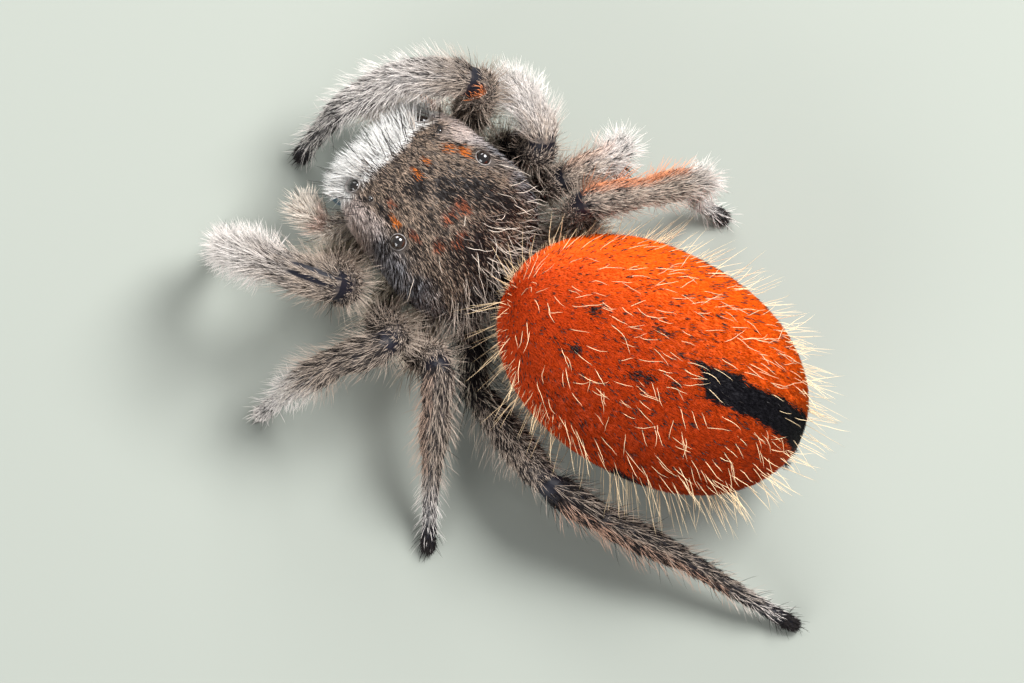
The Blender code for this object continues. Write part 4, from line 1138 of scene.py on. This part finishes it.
# Coat of the shell
# Short hair that lies to the rear, white hair that stands out over the face, black bristles round
# the eyes, long wavy cream hair behind, a fringe low down and short hair on the breast plate. The
# hair near the eyes is left out where it would cover them.
EYE_CLEARANCE = 0.02
SHELL_HAIRS = (
    Hair(720.0, 0.13, 0.20, 0.029, 20, 0, 1, 0.2),
    Hair(320.0, 0.15, 0.23, 0.021, 26, -12, 2, 0.2),
)
SHELL_HAIR_BOTTOM = 1.52
FACE_HAIR = Hair(800.0, 0.28, 0.66, 0.022, (28.0, 60.0), -16, 3, 0.3, tone=(0.3, 1.0))
BEARD_HAIR = Hair(330.0, 0.45, 0.85, 0.021, 26, -8, 3, 0.25, tone=(0.3, 1.0))
FACE_BRISTLE = Hair(26.0, 0.45, 0.90, 0.020, 50, 35, 6, 0.35, 0.05)
CREASE_HAIR = Hair(1500.0, 0.14, 0.22, 0.034, 24, 0, 2, 0.15)
SETA = Hair(8.0, 0.35, 0.75, 0.0165, 38, -30, 6, 0.6, 0.24)
FRINGE_HAIR = Hair(120.0, 0.40, 0.90, 0.018, (20.0, 65.0), -30, 5, 0.35, 0.12)
BREAST_HAIR = Hair(260.0, 0.20, 0.20, 0.036, 22, 0, 1, 0.25)
# How far from their roots these hairs have to be clear of the eyes
FACE_REACH = 0.12
BEARD_REACH = 0.2
BRISTLE_REACH = 0.1
CREASE_REACH = 0.02
# Ends in plan, on the left side, and half widths of the dark creases beside the small eyes
CREASES = (((1.18, -1.38), (1.12, -1.16), 0.035), ((1.06, -1.02), (1.16, -0.62), 0.028))
BRISTLE_BLACK = (0.016, 0.012, 0.012)
SETA_CREAM = (0.86, 0.74, 0.62)
SETA_BROWN = (0.30, 0.24, 0.20)
FRINGE_BEIGE = (0.50, 0.41, 0.34)
FRINGE_BROWN = (0.06, 0.045, 0.04)
shell_material = coat_material("shell_coat", shell_group, SHELL_DARK, 0.4)
face_material = coat_material("face_coat", shell_group, SHELL_DARK, 0.1)
black_hair = plain_hair_material("black_hair", BRISTLE_BLACK, 0.2)
seta_hair = plain_hair_material("seta_hair", SETA_CREAM, 0.1, SETA_BROWN, 0.25)
fringe_hair = plain_hair_material("fringe_hair", FRINGE_BEIGE, 0.1, FRINGE_BROWN, 0.45)


def ramp(value, start, width):
    """0 up to the start, and 1 from one width beyond it on. A width below zero turns it round."""
    return np.clip((value - start) / width, 0, 1)


def shell_lie(root):
    """Direction of the hair: to the rear on top and down the flanks."""
    down = ramp(np.abs(root[:, 0]), 1.45, 0.4)
    return np.stack([0.22 * root[:, 0], np.ones(len(root)), -0.1 - 0.7 * down], axis=1)


def face_lie(root):
    """Direction of the hair of the face: forward and a little outward."""
    return np.stack([0.6 * root[:, 0], np.full(len(root), -1.0), np.full(len(root), -0.25)], axis=1)


def beard_lie(root):
    """Direction of the beard: down, a little forward and outward."""
    return np.stack([0.35 * root[:, 0], np.full(len(root), -0.35), np.full(len(root), -1.0)], axis=1)


def fringe_lie(root):
    """Direction of the fringe: out to the sides and the rear."""
    return np.stack([0.55 * root[:, 0], 0.35 + 0.3 * root[:, 1], np.full(len(root), 0.1)], axis=1)


def clear_of_eyes(spread, lie, length):
    """Drop hairs whose root, middle or tip is on an eye."""
    keep = np.ones(len(spread["u"]), bool)
    heading = unit(lie)
    for _, x, y, z, radius in EYES:
        for side in (1, -1):
            centre = np.array((side * x, y, z))
            for share in (0.0, 0.5, 1.0):
                point = spread["root"] + share * length * heading
                keep &= np.linalg.norm(point - centre, axis=1) > radius + EYE_CLEARANCE
    return keep_rows(spread, keep)


def along_line(points, start, end, width):
    """1 on a line in plan, falling away beside it."""
    start, end = np.array(start), np.array(end)
    share = np.clip((points[:, :2] - start) @ (end - start) / ((end - start) @ (end - start)), 0, 1)
    apart = np.linalg.norm(points[:, :2] - start - share[:, None] * (end - start), axis=1)
    return np.exp(-(apart / width) ** 2)


def shell_roots(share, draw, kind, lie, reach):
    """Roots on the shell, where share scales the density, clear of the eyes for a reach."""
    spread = scatter(shapes["carapace"], lambda u, v, points: kind.density * share(points), draw)
    spread["mark"] = shell_mark(spread["root"])
    return clear_of_eyes(spread, lie(spread["root"]), reach) if reach else spread


def shell_tuft(share, draw, kind, lie, reach=0.0):
    """Hairs of one kind on the shell."""
    spread = shell_roots(share, draw, kind, lie, reach)
    return tuft(spread, lie(spread["root"]), kind, draw)


def half_share(points, side):
    """Where the short hair of one side grows."""
    return (points[:, 2] > SHELL_HAIR_BOTTOM) * (side * points[:, 0] > 0)


def face_share(points):
    """Where the white hair grows: the front above the beard."""
    return ramp(points[:, 1], -1.50, -0.15) * (points[:, 2] > 2.0)


def beard_share(points):
    """Where the beard grows: low on the front."""
    return (points[:, 1] < -1.60) * (points[:, 2] < 2.45)


def bristle_share(points):
    """Where the black bristles stand: round the front eyes."""
    return (points[:, 1] < -1.0) * (points[:, 2] > 2.3)


def crease_share(points, side):
    """Where the dark creases of one side run."""
    lines = [along_line(points, (side * start[0], start[1]), (side * end[0], end[1]), width)
             for start, end, width in CREASES]
    return (points[:, 2] > 2.6) * sum(lines)


def seta_share(points):
    """Where the wavy hairs stand: more to the rear and on the right."""
    return np.clip(points[:, 1] - 0.1, 0, 1.6) * (1.6 - 1.2 * (points[:, 0] > 0.3)) * (points[:, 2] > 2.0)


def fringe_share(points):
    """Where the fringe stands: along the lower edge and round the rear."""
    edge = ramp(points[:, 2], 2.05, -0.3) + np.minimum(ramp(points[:, 1], 1.5, 0.5), 0.8)
    return (points[:, 2] > 1.5) * (points[:, 1] > -1.5) * edge


for index, (label, side) in enumerate((("left", 1), ("right", -1))):
    draw = np.random.default_rng(300 + index)
    tufts = []
    for kind in SHELL_HAIRS:
        spread = shell_roots(lambda points: half_share(points, side), draw, kind, shell_lie, kind.shortest)
        root = spread["root"]
        low = ramp(np.abs(root[:, 0]), 1.4, 0.4)
        tufts.append(tuft(spread, shell_lie(root), kind, draw, 1 + 0.5 * low, 6 * low))
    coat_piece("coat_shell_" + label, tufts, shell_material)

draw = np.random.default_rng(310)
tufts = [shell_tuft(face_share, draw, FACE_HAIR, face_lie, FACE_REACH),
         shell_tuft(beard_share, draw, BEARD_HAIR, beard_lie, BEARD_REACH)]
coat_piece("coat_face", tufts, face_material)

draw = np.random.default_rng(320)
tufts = [shell_tuft(bristle_share, draw, FACE_BRISTLE, face_lie, BRISTLE_REACH)]
for side in (1, -1):
    tufts.append(shell_tuft(lambda points: crease_share(points, side), draw, CREASE_HAIR, shell_lie,
                            CREASE_REACH))
coat_piece("bristles_face", tufts, black_hair)

draw = np.random.default_rng(330)
coat_piece("setae_shell", [shell_tuft(seta_share, draw, SETA, shell_lie)], seta_hair)
coat_piece("fringe_shell", [shell_tuft(fringe_share, draw, FRINGE_HAIR, fringe_lie)], fringe_hair)

spread = scatter(shapes["sternum"], lambda u, v, points: np.full(len(u), BREAST_HAIR.density),
                 np.random.default_rng(340))
spread["mark"] = shell_mark(spread["root"])
lie = np.broadcast_to((0.0, 1.0, 0.0), spread["root"].shape)
tufts = [hairs(spread, lie, BREAST_HAIR.longest, BREAST_HAIR.rise, BREAST_HAIR,
               np.random.default_rng(341))]
coat_piece("coat_breast", tufts, shell_material)

# Jaws
# Two stout horny jaws of iridescent green below the face, each with a folded fang. They are
# turned shapes whose tops run up under the hair of the face.
JAW_DEEP_GREEN = (0.02, 0.19, 0.16)
JAW_GREEN = (0.04, 0.29, 0.26)
JAW_BLUE = (0.04, 0.13, 0.30)
JAW_ROUGHNESS = 0.30
JAW_MOTTLE = 2500.0
JAW_GRAIN = 7000.0
JAW_GRAIN_STRENGTH = 0.5
CHELICERA_X = 0.66
CHELICERA_Y = -1.72
# Height, half width and half depth
CHELICERA_STATIONS = ((2.12, 0.22, 0.20), (1.90, 0.27, 0.24), (1.62, 0.31, 0.28), (1.52, 0.41, 0.38),
                      (1.25, 0.48, 0.45), (0.88, 0.47, 0.44), (0.60, 0.40, 0.37), (0.46, 0.24, 0.22),
                      (0.43, 0.05, 0.05))
FANG_PATH = ((0.66, -1.84, 0.66), (0.64, -1.90, 0.38), (0.44, -1.80, 0.20))
FANG_PROFILE = ((0.0, 0.14), (1.0, 0.11), (2.0, 0.03))
FANG_BEND_RADIUS = 0.15
JAW_GRID = (40, 36)
FANG_GRID = (20, 14)
jaw_horn, graph, shader = plain_material("jaw_horn", JAW_ROUGHNESS, Metallic=0.7)
tilt = graph.node("ShaderNodeLayerWeight", {"Blend": 0.45}).outputs["Facing"]
green = graph.mottle(JAW_MOTTLE, JAW_DEEP_GREEN, JAW_GREEN)
graph.tree.links.new(graph.blend(tilt, green, JAW_BLUE), shader.inputs["Base Color"])
add_grain(graph, shader, JAW_GRAIN, JAW_GRAIN_STRENGTH)
jaw_rows = np.array(CHELICERA_STATIONS)


def jaw_shape(side):
    """Surface of one jaw: u runs down it and v round it."""
    def shape(u, v):
        spot = np.asarray(u) * (len(jaw_rows) - 1)
        height, half, depth = [np.interp(spot, np.arange(len(jaw_rows)), jaw_rows[:, column])
                               for column in range(3)]
        angle = 2 * math.pi * np.asarray(v)
        return np.stack([side * CHELICERA_X + half * np.cos(angle), CHELICERA_Y + depth * np.sin(angle),
                         height], axis=1)

    return shape


for side, label in ((1, "left"), (-1, "right")):
    points, faces = surface_grid(jaw_shape(side), *JAW_GRID)
    fang = bent_course([(side * x, y, z) for x, y, z in FANG_PATH], FANG_BEND_RADIUS)
    places, radii = np.array(FANG_PROFILE).T
    fang["radius"] = np.interp(fang["place"], places, radii)
    more_points, more_faces = surface_grid(limb_shape(fang), *FANG_GRID)
    faces += [[len(points) + index for index in face] for face in more_faces]
    jaw = finished_mesh("jaw_" + label, np.concatenate([points, more_points]), faces, jaw_horn)
    fit_piece(jaw, ["chelicera_" + label])

# Velvet and bristles of the abdomen
# A short dense pile in the abdomen's colours, small black hairs in it, long cream bristles that
# stand out all round and curl on top, and a close pale fringe round the front.
PILE = Hair(860.0, 0.12, 0.20, 0.036, 26, 0, 1, 0.25)
# Half, hairs a square millimetre, and on which side of the middle height it lies
PILE_HALVES = (("top", PILE.density, 1), ("belly", 500.0, -1))
DASH = Hair(34.0, 0.15, 0.21, 0.036, 36, -14, 2, 0.25)
SPOT_DENSITY = 330.0
BRISTLE = Hair(8.8, 0.36, 0.70, 0.0175, 22, -20, 6, 0.40, 0.17)
# What a bristle at the rim has more: length, and degrees of rise
RIM_LENGTH = (0.28, 0.62)
RIM_RISE = 40.0
BRISTLE_SPLAY = 1.6
BRISTLE_SHARE_ON_STRIPE = 0.12
ABDOMEN_FRINGE = Hair(44.0, 0.16, 0.34, 0.015, (50.0, 85.0), -18, 3, 0.5)
BRISTLE_CREAM = (1.0, 0.75, 0.45)
pile_material = coat_material("abdomen_pile", abdomen_group, ABDOMEN_BLACK, 0.3)
bristle_hair = plain_hair_material("bristle_hair", BRISTLE_CREAM, 0.1)


def abdomen_roots(density, draw):
    """Hair roots on the abdomen, where density takes the marks, and the lie to the rear."""
    spread = scatter(shapes["abdomen"], lambda u, v, points: density(abdomen_mark(points)), draw)
    spread["mark"] = abdomen_mark(spread["root"])
    return spread, np.broadcast_to(ABDOMEN_BACK, spread["root"].shape)


def dash_density(mark):
    """Black hairs: evenly over the front, few behind, and close together in the spots."""
    even = DASH.density * np.clip(2.6 - 2.9 * mark[:, 0], 0.05, 1)
    close = np.zeros(len(mark))
    for centre, radii in ABDOMEN_SPOTS:
        apart = ellipse(2 * mark[:, 0] - 1, 2 * mark[:, 1] - 1, centre, radii)
        close = np.maximum(close, np.clip(1 - apart, 0, 1))
    return (even + SPOT_DENSITY * close) * (mark[:, 2] > 0.5)


def bristle_density(mark):
    """Bristles: more to the rear and round the rim, and hardly any on the black stripe."""
    along, across = 2 * mark[:, 0] - 1, 2 * mark[:, 1] - 1
    in_width = np.abs(across - STRIPE_SLANT * along - STRIPE_MIDDLE) < STRIPE_HALF_WIDTH + 0.03
    on_stripe = in_width & (along > 0.41 * across + 0.1) & (mark[:, 2] > 0.5)
    rim = np.abs(mark[:, 2] - 0.55) < 0.2
    share = np.where(on_stripe, BRISTLE_SHARE_ON_STRIPE, 1.0)
    return BRISTLE.density * (0.6 + 0.8 * mark[:, 0]) * (1 + 0.25 * rim) * share


def front_density(mark):
    """The close fringe: low round the front of the abdomen."""
    return ABDOMEN_FRINGE.density * ramp(mark[:, 0], 0.42, -0.12) * ramp(mark[:, 2], 0.66, -0.06)


for index, (place, density, sign) in enumerate(PILE_HALVES):
    draw = np.random.default_rng(400 + index)
    spread, lie = abdomen_roots(lambda mark: density * (sign * (mark[:, 2] - 0.5) >= 0), draw)
    coat_piece("coat_abdomen_" + place, [tuft(spread, lie, PILE, draw)], pile_material)

draw = np.random.default_rng(410)
spread, lie = abdomen_roots(dash_density, draw)
coat_piece("dots_abdomen", [tuft(spread, lie, DASH, draw)], black_hair)

draw = np.random.default_rng(420)
spread, lie = abdomen_roots(bristle_density, draw)
count = len(spread["u"])
rim = 1 - ramp(spread["outward"][:, 2], 0.0, 0.8)
length = draw.uniform(BRISTLE.shortest, BRISTLE.longest, count) + rim * draw.uniform(*RIM_LENGTH, count)
splay = lie + BRISTLE_SPLAY * (spread["mark"][:, 1:2] - 0.5) * ABDOMEN_LEFT
flatter = BRISTLE._replace(bend=BRISTLE.bend * (1 - rim))
tufts = [hairs(spread, splay, length, BRISTLE.rise + RIM_RISE * rim, flatter, draw)]
spread, lie = abdomen_roots(front_density, draw)
tufts.append(tuft(spread, lie, ABDOMEN_FRINGE, draw))
coat_piece("bristles_abdomen", tufts, bristle_hair)

# Coat of waist and spinnerets
# Short dark hair on the stalk and in tufts on the four cones, in the tones of the shell's rear end, whose
# darkness is partly painted shade.
# It is rooted in the skin like that of the legs.
STALK_HAIR = Hair(300.0, 0.16, 0.26, 0.032, 28, -10, 2, 0.3)
for index, name in enumerate(["waist"] + spinnerets):
    draw = np.random.default_rng(500 + index)
    spread = limb_roots(name, lambda place, mark: np.full(len(place), STALK_HAIR.density), draw)
    # Marks at the shell's low rear end, so these hairs take its darker share there, which is partly
    # painted shade
    spread["mark"] = shell_mark(spread["root"] * np.array((1.0, 0.0, 0.3)) + np.array((0.0, 1.9, 0.0)))
    coat_piece("coat_" + name, [tuft(spread, spread["length"], STALK_HAIR, draw)], shell_material)

# Floor, light and camera
# A plain pale floor, soft studio light from above right of the view, and a long lens at the
# photograph's angle.
FLOOR_HALF = 400.0
FLOOR_GREY = (0.30, 0.32, 0.285, 1.0)
SKY_WHITE = (0.93, 0.96, 1.0, 1.0)
SKY_STRENGTH = 0.36
floor_corners = [(-FLOOR_HALF, -FLOOR_HALF, 0.0), (FLOOR_HALF, -FLOOR_HALF, 0.0),
                 (FLOOR_HALF, FLOOR_HALF, 0.0), (-FLOOR_HALF, FLOOR_HALF, 0.0)]
floor_paper, graph, shader = plain_material("floor_paper", 0.9)
shader.inputs["Base Color"].default_value = FLOOR_GREY
floor = finished_mesh("floor", floor_corners, [(0, 1, 2, 3)], floor_paper)
bpy.context.scene.collection.objects.link(floor)

VIEW_ELEVATION = math.radians(74.0)
VIEW_TURN = math.radians(45.0)
VIEW_DISTANCE = 150.0
VIEW_WIDTH = 22.76
SENSOR_WIDTH = 36.0
AIM = np.array((1.09, 3.35, 2.94))
towards_camera = np.array((math.cos(VIEW_ELEVATION), 0.0, math.sin(VIEW_ELEVATION)))
level_side = np.array((0.0, 1.0, 0.0))
level_up = np.cross(towards_camera, level_side)
image_right = math.cos(VIEW_TURN) * level_side + math.sin(VIEW_TURN) * level_up
image_up = np.cross(towards_camera, image_right)
camera_data = bpy.data.cameras.new("camera")
camera_data.sensor_width = SENSOR_WIDTH
camera_data.lens = SENSOR_WIDTH * VIEW_DISTANCE / VIEW_WIDTH
camera_data.clip_start = 0.001
camera_data.clip_end = 2.0
camera = bpy.data.objects.new("camera", camera_data)
turned = np.eye(4)
turned[:3, 0] = image_right
turned[:3, 1] = image_up
turned[:3, 2] = towards_camera
turned[:3, 3] = in_row_frame(AIM + VIEW_DISTANCE * towards_camera)
camera.matrix_world = Matrix(turned.tolist())
bpy.context.scene.collection.objects.link(camera)
bpy.context.scene.camera = camera
bpy.context.scene.view_settings.view_transform = "Standard"

# Name, direction in the view (right, up, towards the camera), distance, size, watts
LIGHTS = (
    ("key", (0.75, 0.75, 0.9), 110.0, 60.0, 0.23),
    ("fill", (-0.65, -0.75, 0.7), 130.0, 90.0, 0.16),
    ("rim", (-0.2, 1.0, 0.25), 120.0, 60.0, 0.10),
)
for name, direction, distance, size, watts in LIGHTS:
    data = bpy.data.lights.new(name, "AREA")
    data.size = size * MM
    data.energy = watts
    way = unit(direction[0] * image_right + direction[1] * image_up + direction[2] * towards_camera)
    lamp = bpy.data.objects.new(name, data)
    lamp.location = in_row_frame(AIM + distance * way)
    lamp.rotation_euler = Vector(way).to_track_quat("Z", "Y").to_euler()
    bpy.context.scene.collection.objects.link(lamp)
world = bpy.data.worlds.new("studio")
world.use_nodes = True
background = world.node_tree.nodes["Background"]
background.inputs["Color"].default_value = SKY_WHITE
background.inputs["Strength"].default_value = SKY_STRENGTH
bpy.context.scene.world = world
